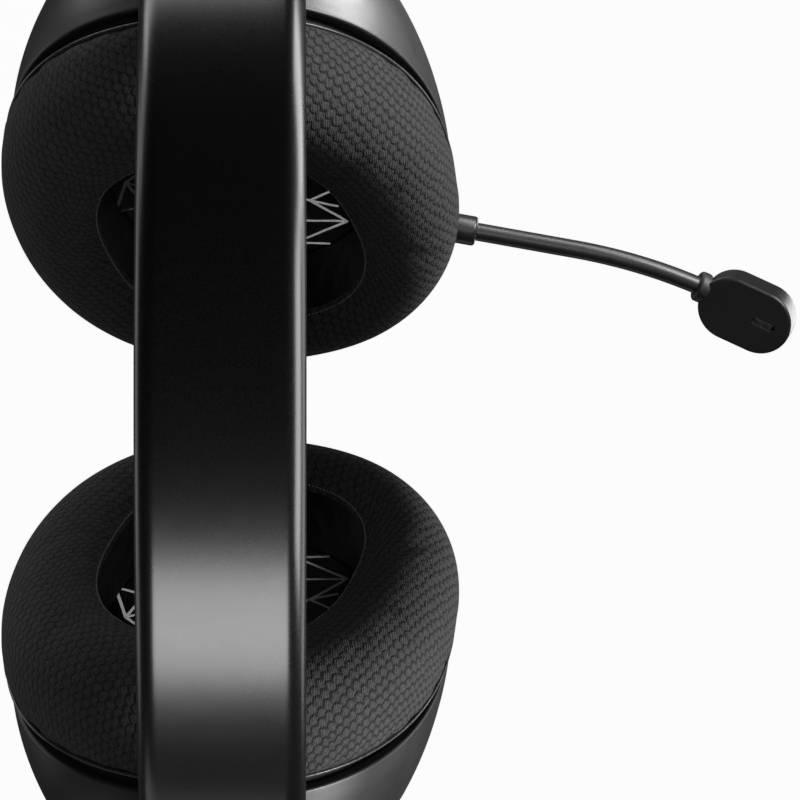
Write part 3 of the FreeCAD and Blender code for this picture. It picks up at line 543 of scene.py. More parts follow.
PLUG = brushed_metal("plug_metal", (0.6, 0.6, 0.6), 0.18)
KNIT = knit_fabric("ear_pad_knit", (0.050, 0.050, 0.0515))
# painted shade: near-black cloth for the opening's wall, darker than the knit, standing for the shade inside
# the opening
SHADE_LINING = plain_cloth("opening_lining", (0.0035, 0.0035, 0.0035))
CLOTH = plain_cloth("scrim_cloth", (0.007, 0.007, 0.007))
LINES = thread("scrim_line_print", (0.45, 0.45, 0.45))
STITCH = thread("stitch_thread", (0.30, 0.30, 0.30))
PIPING = moulded("piping_skin", (0.05, 0.05, 0.05), 0.30, grain=1500.0, depth=0.01)
LENS_CLEAR = moulded("light_lens", (0.5, 0.52, 0.55), 0.2, grain=900.0, depth=0.003)

FINISH_OF_SLOT = {
    "band_black": BAND, "trim_black": TRIM, "spring_steel": STEEL, "shell_black": SHELL, "plate_black": PLATE,
    "inner_black": INNER, "knit_fabric": KNIT, "scrim_fabric": CLOTH, "magnet_steel": STEEL, "film": FILM,
    "cable_rubber": RUBBER, "board_green": BOARD, "battery_wrap": WRAP, "control_black": CONTROL,
    "light_lens": LENS_CLEAR, "boom_rubber": RUBBER, "capsule_black": CAPSULE, "plug_metal": PLUG}


def dress_cad_nodes():
    """Gives every CAD node its finish, smooth curves and softened edges."""
    slots = {p["node"]: p["material_slot"] for p in frame["record"]["subparts"]}
    for node, piece in frame["nodes"].items():
        piece.data.materials.clear()
        piece.data.materials.append(FINISH_OF_SLOT[slots[node]])
        piece.data.shade_smooth()
        weld = piece.modifiers.new("weld", "WELD")
        weld.merge_threshold = 0.002 * MM
        bevel(piece, 0.12, 2, 35)
        split = piece.modifiers.new("normals", "WEIGHTED_NORMAL")
        split.keep_sharp = True


# ================= headband =================

def cover_profile():
    """Outer and inner halves of the cover's section, as (y, depth) pairs."""
    shoulder = BAND_HALF - FLAT_HALF
    turns = quarter_turn(10)
    edge = [(FLAT_HALF + shoulder * math.sin(a), SHOULDER_DROP * (1 - math.cos(a))) for a in turns]
    inner_edge = [(FLAT_HALF - 0.4 + (shoulder - COVER_WALL + 0.4) * math.sin(a),
                   COVER_WALL + (SHOULDER_DROP + 0.6 - COVER_WALL) * (1 - math.cos(a))) for a in turns]
    flat, inner_flat = ([(y, depth) for y in np.linspace(-FLAT_HALF, FLAT_HALF, 9)[1:-1]]
                        for depth in (0.0, COVER_WALL))
    lip = [(BAND_HALF, LIP_DEPTH - 0.7), (BAND_HALF, LIP_DEPTH)]
    inner_lip = [(BAND_HALF - COVER_WALL, LIP_DEPTH - 0.7), (BAND_HALF - COVER_WALL, LIP_DEPTH)]

    def whole(right, middle):
        left = [(-y, d) for y, d in reversed(right)]
        return left + middle + right
    return whole(edge + lip, flat), whole(inner_edge + inner_lip, inner_flat)


def build_band_cover():
    outer, inner = cover_profile()
    loop = outer + inner[::-1]
    end = LEG_START + COVER_END
    stations = np.linspace(-end, end, 241)
    points = [band_point(s, y, d) for s in stations for y, d in loop]
    rows, cols, half = len(stations), len(loop), len(outer)
    faces = strip_faces(rows, cols)
    for row in (0, rows - 1):
        start = row * cols
        for i in range(half - 1):
            faces.append((start + i, start + i + 1, start + cols - 2 - i, start + cols - 1 - i))
    piece = show("band_shell", outward(mesh_from("band_shell", points, faces)))
    bevel(piece, 0.4, 3, 50)
    smooth(apply_modifiers(piece), 30)
    return finish_piece(piece, "headband", BAND, ["band_cover"])


# ================= ear cups =================

def shell_profile():
    """Closed (x, inset) profile of the shell's wall, from the inner wall round the rim to the back edge."""
    edge = 0.55
    turns = quarter_turn(4)
    wall = SHELL_WALL
    inner = [(x, taper(x) + wall) for x in (SHELL_BACK - 1.9, 18.0, 12.0, 7.0, RIM_X + 1.2)]
    rim_in = [(RIM_X + edge * (1 - math.sin(a)), wall - edge * (1 - math.cos(a))) for a in turns]
    rim_out = [(RIM_X + edge * (1 - math.cos(a)), edge * (1 - math.sin(a))) for a in turns]
    outer = [(x, taper(x)) for x in np.linspace(RIM_X + 1.2, SHELL_BACK - 1.6, 18)]
    back_r = 1.0
    last = taper(SHELL_BACK)
    back = [(SHELL_BACK - back_r * (1 - math.sin(a)), last + back_r * (1 - math.cos(a))) for a in turns]
    shelf = [(SHELL_BACK, last + wall - 0.1), (SHELL_BACK - 1.0, last + wall)]
    return inner + rim_in + rim_out + outer + back + shelf


def cup_form(name, profile, walled):
    """A closed form with the shell's outline: a hollow wall, or a solid with two ends."""
    faces = strip_faces(len(profile), AROUND, close_rows=walled)
    if not walled:
        faces += end_faces(len(profile), AROUND)
    return show(name, outward(mesh_from(name, shell_rings(profile), faces)))


def rod_tool(centre, axis, radius, half_length, around=48):
    """A closed rod in the row frame, from a centre and an axis in the cup's frame."""
    axis = Vector(axis).normalized()
    start = cup_to_row(Vector(centre) - axis * half_length)
    direction = CUP_TURN @ axis
    return turned("tool", [(0, radius), (2 * half_length, radius)], start, direction, around)


def node_centre(node):
    low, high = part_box(node)
    return (low + high) / 2 / MM


def row_to_cup(point):
    return CUP_TURN.inverted() @ (Vector(point) - PIVOT) + PIVOT_IN_CUP


def wall_out(centre):
    """The shell wall's outward direction beside a point, in the cup's frame."""
    edge = outline(AROUND, grow=-taper(CONTROL_X), **SHELL_OVAL)
    nearest = np.argmin(np.linalg.norm(edge - np.array(centre[1:]), axis=1))
    slope = (taper(CONTROL_X + 0.5) - taper(CONTROL_X - 0.5))
    return Vector((slope, *outline_normals(edge)[nearest]))


def hinge_boss(piece):
    """Boss in the pocket that the tilt pin passes through."""
    c = PIVOT_IN_CUP
    block = box_tool((c.x - 3, c.y - 4, POCKET_LOW.z - 1), (c.x + 3, c.y + 4, c.z))
    combine(piece, block, "UNION")
    return combine(piece, rod_tool(c, (0, 1, 0), 3.0, 4.0), "UNION")


USB_HALF = Vector((2.05, 4.9, 7))


def left_openings(piece):
    """Cuts for the wheel, the buttons, the light, the ports and the microphone."""
    wheel = row_to_cup(node_centre("volume_wheel"))
    combine(piece, rod_tool(wheel, (1, 0, 0), 8.4, 2.3, 64), "DIFFERENCE")
    for node, radius in (("power_button", 2.8), ("mute_button", 2.8), ("status_light", 1.05)):
        centre = row_to_cup(node_centre(node))
        combine(piece, rod_tool(centre, wall_out(centre), radius, 6.0), "DIFFERENCE")
    combine(piece, rod_tool(row_to_cup(node_centre("audio_jack")), (0, 0, 1), 3.2, 12.0), "DIFFERENCE")
    usb = row_to_cup(node_centre("usb_port"))
    slot = box_tool(usb - USB_HALF, usb + USB_HALF)
    bevel(slot, 1.95, 6, 60)
    combine(piece, apply_modifiers(slot), "DIFFERENCE")
    start = COLLAR_END - MIC_AXIS * 33
    return combine(piece, turned("tool", [(0, 3.62), (26, 3.62)], start, MIC_AXIS, 48), "DIFFERENCE")


def build_shell(side):
    piece = cup_form(f"cup_body_{side}", shell_profile(), walled=True)
    depths = np.linspace(RIM_X + 0.05, SHELL_BACK - 0.4, 12)
    solid = cup_form("solid", [(x, taper(x) + 0.02) for x in depths], walled=False)
    grown = Vector((POCKET_WALL,) * 3)
    block = box_tool(POCKET_LOW - grown, POCKET_HIGH + grown)
    combine(block, solid, "INTERSECT")
    combine(piece, block, "UNION")
    void = box_tool(POCKET_LOW, POCKET_HIGH)
    bevel(void, 2.2, 5, 60)
    combine(piece, apply_modifiers(void), "DIFFERENCE")
    hinge_boss(piece)
    if side == "left":
        left_openings(piece)
    bevel(piece, 0.25, 2, 45)
    apply_modifiers(piece)
    if side == "right":
        piece.data.transform(Matrix.Diagonal((-1, 1, 1, 1)))
        piece.data.flip_normals()
    even_normals(piece, 38)
    return finish_piece(piece, f"cup_{side}", SHELL, [f"cup_shell_{side}"])


def build_outer_plate(side):
    """Domed plate with a fine groove that follows its edge."""
    inset = taper(SHELL_BACK) + PLATE_INSET
    edge = [(SHELL_BACK - 1.7, inset + 0.1), (SHELL_BACK - 0.2, inset), (SHELL_BACK + 0.3, inset + 0.1),
            (SHELL_BACK + 0.58, inset + 0.35), (SHELL_BACK + 0.7, inset + 0.75)]
    base = outline(AROUND, grow=-(inset + 0.75), **SHELL_OVAL)
    points = shell_rings(edge)
    groove = (0.898, 0.891)
    shares = [0.985, 0.96, 0.93, 0.905, *groove, 0.884, 0.86, 0.8, 0.7, 0.6, 0.5, 0.4, 0.3, 0.2, 0.1, 0.03]
    for share in shares:
        x = SHELL_BACK + 0.7 + 1.1 * (1 - share ** 2) - (0.3 if share in groove else 0)
        points += [cup_to_row((x, y * share, z * share)) for y, z in base]
    rows = len(edge) + len(shares)
    faces = strip_faces(rows, AROUND) + end_faces(rows, AROUND)
    piece = show(f"outer_cap_{side}", outward(mesh_from("outer_cap", points, faces, side == "right")))
    smooth(piece, 50)
    return finish_piece(piece, f"cup_{side}", PLATE, [f"outer_plate_{side}"])


# ---- ear cushions ----
PAD_AROUND = 360
PAD_ROWS = 96
# The cover's section as (offset, depth): outside from the cup's oval, across the face as a share of the way
# from the outer edge to the opening, and down the opening's wall. Depth is toward the wearer.
PAD_OUTER = ((-2.4, 1.7), (-0.4, 0.5), (0.3, 0.45), (0.85, 1.0), (1.3, 2.4), (1.55, 4.5), (1.62, 7.0),
             (1.5, 9.0), (1.15, 11.2), (0.45, 13.3), (-0.6, 15.2), (-2.1, 17.0), (-4.0, 18.5), (-6.0, 19.5),
             (-8.0, 20.0))
PAD_FACE = ((0.12, 20.1), (0.26, 20.05), (0.42, 19.75), (0.58, 19.2), (0.74, 18.4), (0.88, 17.4),
            (0.96, 16.6))
PAD_WALL = ((0.0, 15.8), (-0.5, 14.6), (-0.75, 12.0), (-0.6, 9.0), (-0.3, 6.0), (0.0, 3.6), (0.3, 2.6))
FACE_START = PAD_OUTER[-1][0]
SEAM_SHARE = 0.73         # how far along the section the inner seam is
ARM_ROOM = 1.5            # the cover is drawn in this far at the cup's top, clear of the arm's foot
ARM_ROOM_WIDTH = 9.0
ARM_ROOM_DEPTH = 12.0     # no room is needed beyond this depth
ARM_ROOM_FROM = -0.4      # nor inside this offset from the oval
CLOTH_SCALE = 20.0        # the cover is simulated this much enlarged
CLOTH_FRAMES = 20
CLOTH_START = 0.5         # how far inside its final place the cover starts
SETTLE_MOST = 0.5         # the most that the simulation may move the cover


def hollow(yz, offset):
    """How far the cover is drawn in at each point, for the arm's foot when the cup swivels."""
    share = np.exp(-(yz[:, 0] / ARM_ROOM_WIDTH) ** 2) * (yz[:, 1] > 0)
    return share * min(max(offset - ARM_ROOM_FROM, 0), ARM_ROOM)


def pad_section():
    """Rows of the pad: each gives its x and the points (y, z) round the cup; the outward normals of the cup's
    oval come with them.
    """
    outer = outline(PAD_AROUND, **OVAL)
    n_out = outline_normals(outer)
    inner = outline(PAD_AROUND, **OPENING)
    n_in = outline_normals(inner)
    edge = outer + n_out * FACE_START
    rows = []
    for offset, depth in PAD_OUTER:
        drawn = offset - hollow(outer, offset) * max(0, 1 - depth / ARM_ROOM_DEPTH)
        rows.append((-depth, outer + n_out * drawn[:, None]))
    rows += [(-depth, edge * (1 - share) + inner * share) for share, depth in PAD_FACE]
    rows += [(-depth, inner + n_in * offset) for offset, depth in PAD_WALL]
    return rows, n_out


def resample_rows(rows, count):
    """The same section with more, evenly spaced rows, smoothed between them."""
    grid = np.array([np.column_stack([np.full(len(yz), x), yz]) for x, yz in rows])
    step = np.linalg.norm(np.diff(grid, axis=0), axis=2).mean(1)
    run = np.concatenate([[0], np.cumsum(step)])
    at = np.linspace(0, run[-1], count)
    fine = np.empty((count, grid.shape[1], 3))
    for c, k in product(range(grid.shape[1]), range(3)):
        fine[:, c, k] = np.interp(at, run, grid[:, c, k])
    for _ in range(6):
        fine[1:-1] = fine[1:-1] * 0.5 + (fine[:-2] + fine[2:]) * 0.25
    return fine


def cloth_coordinates(grid, n_out, middle):
    """Flat-cut coordinates of the cover: the face as it lies, the sides unrolled outward from it."""
    step = np.linalg.norm(np.diff(grid, axis=0), axis=2)
    run = np.concatenate([np.zeros((1, grid.shape[1])), np.cumsum(step, 0)])
    reach = run[middle] - run
    base = grid[middle][:, 1:]
    return base[None] + n_out[None] * reach[..., None]


def puckers(grid):
    """Small soft folds that run in from the inner seam, and a slight unevenness all over."""
    rows, cols = grid.shape[:2]
    turn = np.linspace(0, 2 * np.pi, cols, endpoint=False)
    rng = np.random.default_rng(11)

    def waves(counts, least):
        return sum(rng.uniform(least, 1.0) * np.cos(k * turn + rng.uniform(0, 6.28)) / 4 for k in counts)
    folds = waves((17, 23, 31, 43), 0.4)
    swell = waves((2, 3, 5, 7), 0.3)
    v = np.linspace(0, 1, rows)
    near_seam = np.exp(-((v - SEAM_SHARE + 0.07) / 0.055) ** 2)
    near_back = np.exp(-((v - 0.05) / 0.05) ** 2)
    return 0.16 * near_seam[:, None] * folds + 0.1 * near_back[:, None] * folds + 0.16 * swell[None]


def smooth_field(field, passes):
    """Evens out a field over the pad's rows and columns."""
    for _ in range(passes):
        field = field * 0.5 + (np.roll(field, 1, 0) + np.roll(field, -1, 0)) * 0.25
        field = field * 0.5 + (np.roll(field, 1, 1) + np.roll(field, -1, 1)) * 0.25
    return field


def settled_cover(grid, normal):
    """Cloth simulation of the cover on its filling: how unevenly it settles round the cup, in millimetres."""
    coarse, out = grid[::2, ::2], normal[::2, ::2]
    rows, cols = coarse.shape[:2]
    free = np.ones(rows)
    free[:3] = free[-3:] = 0
    free[int(rows * SEAM_SHARE)] = 0
    start = coarse - out * CLOTH_START * free[:, None, None]
    mesh = mesh_from("cover", start.reshape(-1, 3) * CLOTH_SCALE, strip_faces(rows, cols, close_rows=True))
    piece = show("cover", outward(mesh))
    held = piece.vertex_groups.new(name="held")
    held.add([int(r) * cols + c for r in np.flatnonzero(free == 0) for c in range(cols)], 1.0, "REPLACE")
    cloth = piece.modifiers.new("cloth", "CLOTH")
    cloth.settings.vertex_group_mass = "held"
    cloth.settings.use_pressure = True
    cloth.settings.uniform_pressure_force = 6.0
    cloth.settings.shrink_min = -0.02
    cloth.settings.effector_weights.gravity = 0.0
    cloth.collision_settings.use_collision = False
    cloth.point_cache.frame_end = CLOTH_FRAMES
    scene = bpy.context.scene
    for at in range(1, CLOTH_FRAMES + 1):
        scene.frame_set(at)
    result = piece.evaluated_get(bpy.context.evaluated_depsgraph_get()).data
    found = np.empty(rows * cols * 3)
    result.vertices.foreach_get("co", found)
    moved = found.reshape(rows, cols, 3) / (MM * CLOTH_SCALE) - coarse
    bpy.data.objects.remove(piece)
    scene.frame_set(1)
    lift = (moved * out).sum(2)
    lift = np.clip(lift - lift.mean(1, keepdims=True), -SETTLE_MOST, SETTLE_MOST)
    return smooth_field(np.repeat(np.repeat(lift, 2, 0), 2, 1), 3)


def pad_grid():
    rows, n_out = pad_section()
    grid = resample_rows(rows, PAD_ROWS)
    lifted = grid.copy()
    across = np.gradient(grid, axis=0)
    along = (np.roll(grid, -1, 1) - np.roll(grid, 1, 1))
    normal = np.cross(along, across)
    normal /= np.linalg.norm(normal, axis=2, keepdims=True)
    v = np.linspace(0, 1, PAD_ROWS)
    seam = -0.55 * np.exp(-((v - SEAM_SHARE) / 0.012) ** 2)
    lifted += normal * (puckers(grid) + seam[:, None])[..., None]
    lifted += normal * settled_cover(lifted, normal)[..., None]
    middle = int(PAD_ROWS * 0.42)
    return lifted, cloth_coordinates(grid, n_out, middle), normal


def set_weave(mesh, coordinates):
    layer = mesh.attributes.new("weave", "FLOAT_VECTOR", "POINT")
    flat = np.column_stack([coordinates.reshape(-1, 2), np.zeros(coordinates.size // 2)])
    layer.data.foreach_set("vector", flat.astype(np.float32).ravel())


PAD_GRID, PAD_WEAVE, PAD_NORMAL = pad_grid()


def build_ear_pad(side):
    points = [cup_to_row(p) for p in PAD_GRID.reshape(-1, 3)]
    faces = strip_faces(PAD_ROWS, PAD_AROUND, close_rows=True)
    mesh = mesh_from("ear_pad", points, faces, side == "right")
    set_weave(mesh, PAD_WEAVE)
    piece = show(f"ear_pad_{side}", outward(mesh))
    # painted shade: the cover inside the seam, down the opening's wall, takes the near-black lining
    shade_lined_rows = {int(PAD_ROWS * SEAM_SHARE) + k for k in range(1, PAD_ROWS)}
    for i, face in enumerate(piece.data.polygons):
        face.material_index = int(i // PAD_AROUND in shade_lined_rows)
    piece.data.materials.append(KNIT)
    piece.data.materials.append(SHADE_LINING)
    subdivide(piece)
    piece.data.shade_smooth()
    finish_piece(piece, f"cup_{side}", KNIT, [f"ear_cushion_{side}"])
    return piece


PIPING_R = 0.3
PIPING_AT = (-0.62, 0.72)       # x, and offset from the cup's oval


def build_piping(side):
    """Corded edge where the cushion's cover meets its mounting ring."""
    x, offset = PIPING_AT
    outer = outline(PAD_AROUND, **OVAL)
    yz = outer + outline_normals(outer) * (offset - hollow(outer, offset))[:, None]
    path = [cup_to_row((x, *p)) for p in yz]
    points = []
    for i, here in enumerate(path):
        ahead = (path[(i + 1) % PAD_AROUND] - path[i - 1]).normalized()
        across = ahead.cross(CUP_TURN @ Vector((1, 0, 0))).normalized()
        points += ring(here, across, across.cross(ahead), PIPING_R, 12)
    faces = strip_faces(PAD_AROUND, 12, close_rows=True)
    piece = show(f"pad_piping_{side}", outward(mesh_from("pad_piping", points, faces, side == "right")))
    piece.data.shade_smooth()
    return finish_piece(piece, f"cup_{side}", PIPING)


STITCHES = 226
STITCH_SHARE = 0.62       # stitch length as a share of the pitch
STITCH_PROFILE = ((-0.5, 0.03), (-0.4, 0.11), (-0.2, 0.15), (0.2, 0.15), (0.4, 0.11), (0.5, 0.03))


def build_stitches(side):
    """Dashed stitch line round the ear opening."""
    row = int(PAD_ROWS * (SEAM_SHARE - 0.008))
    line = PAD_GRID[row] + PAD_NORMAL[row] * 0.05
    lift = PAD_NORMAL[row]
    run = np.concatenate([[0], np.cumsum(np.linalg.norm(np.roll(line, -1, 0) - line, axis=1))])
    looped = np.vstack([line, line[:1]])
    lifts = np.vstack([lift, lift[:1]])
    points, faces = [], []
    pitch = run[-1] / STITCHES
    rows, around = len(STITCH_PROFILE), 6
    one = strip_faces(rows, around) + end_faces(rows, around)

    def at(distance, table):
        return Vector([np.interp(distance % run[-1], run, table[:, k]) for k in range(3)])
    for i in range(STITCHES):
        faces += [tuple(len(points) + j for j in face) for face in one]
        for share, radius in STITCH_PROFILE:
            distance = (i + 0.5 + share * STITCH_SHARE) * pitch
            here = at(distance, looped)
            up = at(distance, lifts).normalized()
            ahead = at(distance + 0.1, looped) - here
            across = ahead.normalized().cross(up).normalized()
            rise = 0.1 * math.cos(math.pi * share)
            points += [cup_to_row(p) for p in ring(here + up * rise, across, up, radius, around)]
    piece = show(f"pad_stitches_{side}", outward(mesh_from("stitches", points, faces, side == "right")))
    piece.data.shade_smooth()
    return finish_piece(piece, f"cup_{side}", STITCH)


# ---- speaker cloth ----
SCRIM_X = -2.75
SCRIM_SIZE = (23.6, 30.65)
# Ends (y, z) of the straight printed lines: a plain net that reaches the cloth's edge.
SCRIM_LINES = (
    ((-21.5, -5), (-15, -10)), ((-15, -10), (-20.5, -13)), ((-15, -10), (-6, -4)),
    ((-15, -10), (-22.3, -19)), ((-22.3, -19), (-7, -17)), ((-22.3, -19), (-12, -27)),
    ((-12, -27), (-19, -27.5)), ((-12, -27), (-3, -32)), ((-7, -17), (-6, -4)), ((-7, -17), (3, -24)),
    ((-6, -4), (6, -9)), ((3, -24), (6, -9)), ((3, -24), (13, -20)), ((6, -9), (17, -12)),
    ((17, -12), (20.5, -4)), ((17, -12), (13, -20)), ((6, -9), (20.5, -4)), ((20.5, -4), (15, 4)),
    ((15, 4), (22.5, 9)), ((15, 4), (4, 3)), ((4, 3), (-6, -4)), ((4, 3), (9, 15)), ((9, 15), (22.5, 9)),
    ((9, 15), (-4, 14)), ((-4, 14), (-6, -4)), ((-4, 14), (-16, 8)), ((-16, 8), (-21.5, -5)),
    ((9, 15), (13, 24)), ((-4, 14), (3, 25)), ((20.5, -4), (22.8, -16)), ((13, -20), (20, -24)),
    ((17, -12), (22.8, -16)), ((13, -20), (9, -30)), ((3, -24), (9, -30)), ((-16, 8), (-15, 18)))
LINE_WIDTH = 0.6


def scrim_height(y, z):
    """The cloth bows out a little over the driver."""
    r = (y / SCRIM_SIZE[0]) ** 2 + ((z - OPENING["centre"][1]) / SCRIM_SIZE[1]) ** 2
    return SCRIM_X - 1.1 * max(0.0, 1 - r)


def build_scrim(side):
    shares = np.linspace(1.0, 0.04, 24)
    edge = outline(AROUND, **{**OPENING, "size": SCRIM_SIZE})
    centre = np.array([0, OPENING["centre"][1]])
    points = []
    for share in shares:
        for y, z in (edge - centre) * share + centre:
            points.append(cup_to_row((scrim_height(y, z), y, z)))
    faces = strip_faces(len(shares), AROUND)
    last = (len(shares) - 1) * AROUND
    faces.append(tuple(range(last, last + AROUND)))
    mesh = mesh_from("speaker_cloth", points, faces, side == "right")
    piece = show(f"speaker_cloth_{side}", mesh)
    piece.data.shade_smooth()
    finish_piece(piece, f"cup_{side}", CLOTH, [f"speaker_scrim_{side}"])
    return piece


def build_scrim_lines(side):
    """Thin printed lines that lie on the speaker cloth."""
    points, faces = [], []
    for a, b in SCRIM_LINES:
        a, b = Vector(a), Vector(b)
        ahead = (b - a).normalized()
        across = Vector((-ahead.y, ahead.x)) * LINE_WIDTH / 2
        steps = 12
        bar = strip_faces(steps + 1, 4) + end_faces(steps + 1, 4)
        faces += [tuple(len(points) + j for j in face) for face in bar]
        for i in range(steps + 1):
            here = a.lerp(b, i / steps)
            for sign, rise in ((-1, -0.08), (-1, 0.02), (1, 0.02), (1, -0.08)):
                y, z = here + across * sign
                points.append(cup_to_row((scrim_height(y, z) + rise, y, z)))
    piece = show(f"cloth_lines_{side}", outward(mesh_from("cloth_lines", points, faces, side == "right")))
    return finish_piece(piece, f"cup_{side}", LINES)


# ================= crown cushion =================

CROWN_CHANNELS = 5
CROWN_STATIONS = 150
CROWN_AROUND = 56


def build_crown_pad():
    """Soft pad under the crown with sewn channels across it."""
    mid_r = CROWN_R - CUSHION_DEPTHS[0]
    reach = CUSHION_ANGLE * CROWN_R
    low, high = CUSHION_DEPTHS
    points, weave = [], []
    for i in range(CROWN_STATIONS):
        v = -1 + 2 * (i + 0.5) / CROWN_STATIONS
        s = reach * v
        end = (1 - abs(v) ** 14) ** 0.5
        channel = 0.5 - 0.5 * math.cos(2 * math.pi * (v + 1) / 2 * CROWN_CHANNELS)
        puff = 0.80 + 0.20 * channel ** 0.35
        half = CUSHION_HALF * (0.965 + 0.035 * channel ** 0.4) * (0.6 + 0.4 * end)
        thick = (high - low) * puff * (0.35 + 0.65 * end)
        for k in range(CROWN_AROUND):
            a = 2 * math.pi * k / CROWN_AROUND
            c, q = math.cos(a), math.sin(a)
            y = half * math.copysign(abs(c) ** 0.62, c)
            lift = math.copysign(abs(q) ** 0.72, q)
            depth = low + thick * (0.5 + 0.5 * lift)
            points.append(band_point(s, y, depth))
            weave.append((s * mid_r / CROWN_R, y + 6 * lift))
    faces = strip_faces(CROWN_STATIONS, CROWN_AROUND) + end_faces(CROWN_STATIONS, CROWN_AROUND)
    mesh = mesh_from("crown_pad", points, faces)
    set_weave(mesh, np.array(weave))
    piece = show("crown_pad", outward(mesh))
    subdivide(piece)
    piece.data.shade_smooth()
    finish_piece(piece, "headband", KNIT, ["crown_cushion"])
    return piece


# ================= microphone =================

def boom_path(count):
    """Points and directions along the boom: a straight run, then one gentle arc."""
    start = COLLAR_END + MIC_AXIS * BOOM_RUN
    chord = BOOM_END - start
    sideways = chord - MIC_AXIS * chord.dot(MIC_AXIS)
    radius = chord.dot(chord) / (2 * sideways.length)
    centre = start + sideways.normalized() * radius
    axis = MIC_AXIS.cross(chord).normalized()
    angle = 2 * math.asin(chord.length / (2 * radius))
    found = [(COLLAR_END + MIC_AXIS * BOOM_RUN * i / 8, MIC_AXIS) for i in range(8)]
    for i in range(count):
        turn = Matrix.Rotation(angle * i / (count - 1), 3, axis)
        found.append((centre + turn @ (start - centre), turn @ MIC_AXIS))
    return found


BOOM_DIRECTION = boom_path(2)[-1][1]


def build_boom():
    around = 40
    stations = [(COLLAR_END - MIC_AXIS * 3.5, MIC_AXIS)] + boom_path(70)
    points = []
    for here, ahead in stations:
        side = ahead.cross(Vector((0, 0, 1))).normalized()
        points += ring(here, side, side.cross(ahead), BOOM_R, around)
    faces = strip_faces(len(stations), around) + end_faces(len(stations), around)
    piece = show("boom_tube", outward(mesh_from("boom_tube", points, faces)))
    smooth(piece, 50)
    return finish_piece(piece, "microphone", RUBBER, ["mic_boom"])


def build_collar():
    """Plug collar with a grip groove and a rounded nose."""
    length = COLLAR_LENGTH
    nose = rounded_rod(length, COLLAR_R, 0.7)[5:]
    groove = COLLAR_R - 0.28
    profile = [(0.0, COLLAR_R - 0.3), (0.3, COLLAR_R), (length - 5.2, COLLAR_R), (length - 5.0, groove),
               (length - 4.6, groove), (length - 4.4, COLLAR_R)] + nose
    profile += [(length - 0.02, BOOM_R + 0.35), (length - 0.3, BOOM_R + 0.1)]
    piece = turned("boom_collar", profile, COLLAR_END - MIC_AXIS * length, MIC_AXIS)
    smooth(piece, 40)
    return finish_piece(piece, "microphone", RUBBER, ["mic_collar"])


def build_neck():
    profile = rounded_rod(NECK_T, NECK_R, 0.6) + [(NECK_T + 0.01, NECK_R - 1.0), (NECK_T + 1.6, NECK_R - 1.0)]
    piece = turned("boom_neck", profile, BOOM_END, BOOM_DIRECTION)
    smooth(piece, 40)
    return finish_piece(piece, "microphone", TRIM, ["mic_neck"])


CAPSULE_UP = CAPSULE_NORMAL.normalized()
CAPSULE_PLAN = Vector((-math.sin(CAPSULE_TURN), -math.cos(CAPSULE_TURN), 0))
CAPSULE_LONG = (CAPSULE_PLAN - Vector((0, 0, CAPSULE_PLAN.dot(CAPSULE_UP) / CAPSULE_UP.z))).normalized()
CAPSULE_SIDE = CAPSULE_UP.cross(CAPSULE_LONG).normalized()
CAPSULE_T = CAPSULE_FRONT_T + CAPSULE_BACK_T


def stadium_piece(name, rings, shift=0.0):
    """Closed solid of flat-sided ovals: rings are (length, width, height above the centre)."""
    around = 32
    points = []
    for length, width, height in rings:
        r = width / 2
        run = length / 2 - r
        level = CAPSULE_CENTRE + CAPSULE_UP * height
        for end in (1, -1):
            for i in range(around + 1):
                a = math.pi * i / around - math.pi / 2
                u, v = end * (run + r * math.cos(a)), end * r * math.sin(a)
                points.append(level + CAPSULE_LONG * (u + shift) + CAPSULE_SIDE * v)
    cols = 2 * (around + 1)
    faces = strip_faces(len(rings), cols) + end_faces(len(rings), cols)
    return show(name, outward(mesh_from(name, points, faces)))


def rounded_slab(length, width, low, high, low_edge, high_edge):
    """Rings of a slab with rounded lower and upper edges."""
    turns = quarter_turn(5)
    rings = []
    for a in reversed(turns):
        cut = 2 * low_edge * (1 - math.cos(a))
        rings.append((length - cut, width - cut, low + low_edge * (1 - math.sin(a))))
    for a in turns:
        cut = 2 * high_edge * (1 - math.cos(a))
        rings.append((length - cut, width - cut, high - high_edge * (1 - math.sin(a))))
    return rings


def build_capsule():
    length, width = CAPSULE_SIZE
    bottom = -CAPSULE_T / 2
    seam = bottom + CAPSULE_BACK_T
    top = CAPSULE_T / 2
    front = stadium_piece("capsule_face_shell", rounded_slab(length, width, seam + 0.05, top, 0.15, 0.55))
    room = stadium_piece("tool", [(length - 3, width - 3, seam - 1), (length - 3, width - 3, top - 1.3)])
    combine(front, room, "DIFFERENCE")
    combine(front, stadium_piece("tool", [(*SLOT, 0), (*SLOT, CAPSULE_T)], SLOT_SHIFT), "DIFFERENCE")
    bevel(front, 0.12, 2, 50)
    even_normals(apply_modifiers(front))
    finish_piece(front, "microphone", CAPSULE, ["capsule_front"])
    rear = rounded_slab(length - 0.35, width - 0.35, bottom, seam - 0.05, 0.7, 0.12)
    back = stadium_piece("capsule_rear_shell", rear)
    even_normals(back)
    finish_piece(back, "microphone", CAPSULE, ["capsule_back"])


# ================= studio =================

def build_floor():
    level = CAD_BOX[0].z - FLOOR_BELOW
    mesh = bpy.data.meshes.new("floor")
    half = 6.0
    mesh.from_pydata([(-half, -half, level), (half, -half, level), (half, half, level), (-half, half, level)],
                     [], [(0, 1, 2, 3)])
    floor = show("floor", mesh)
    paint = Paint("floor_white", (0.9, 0.9, 0.9), 0.9, Specular_IOR_Level=0.1)
    paint.set(paint.shader, "Emission Color", (1, 1, 1, 1))
    paint.set(paint.shader, "Emission Strength", 0.95)
    floor.data.materials.append(paint.material)
    floor.visible_glossy = False
    floor.visible_diffuse = False
    floor.visible_shadow = False


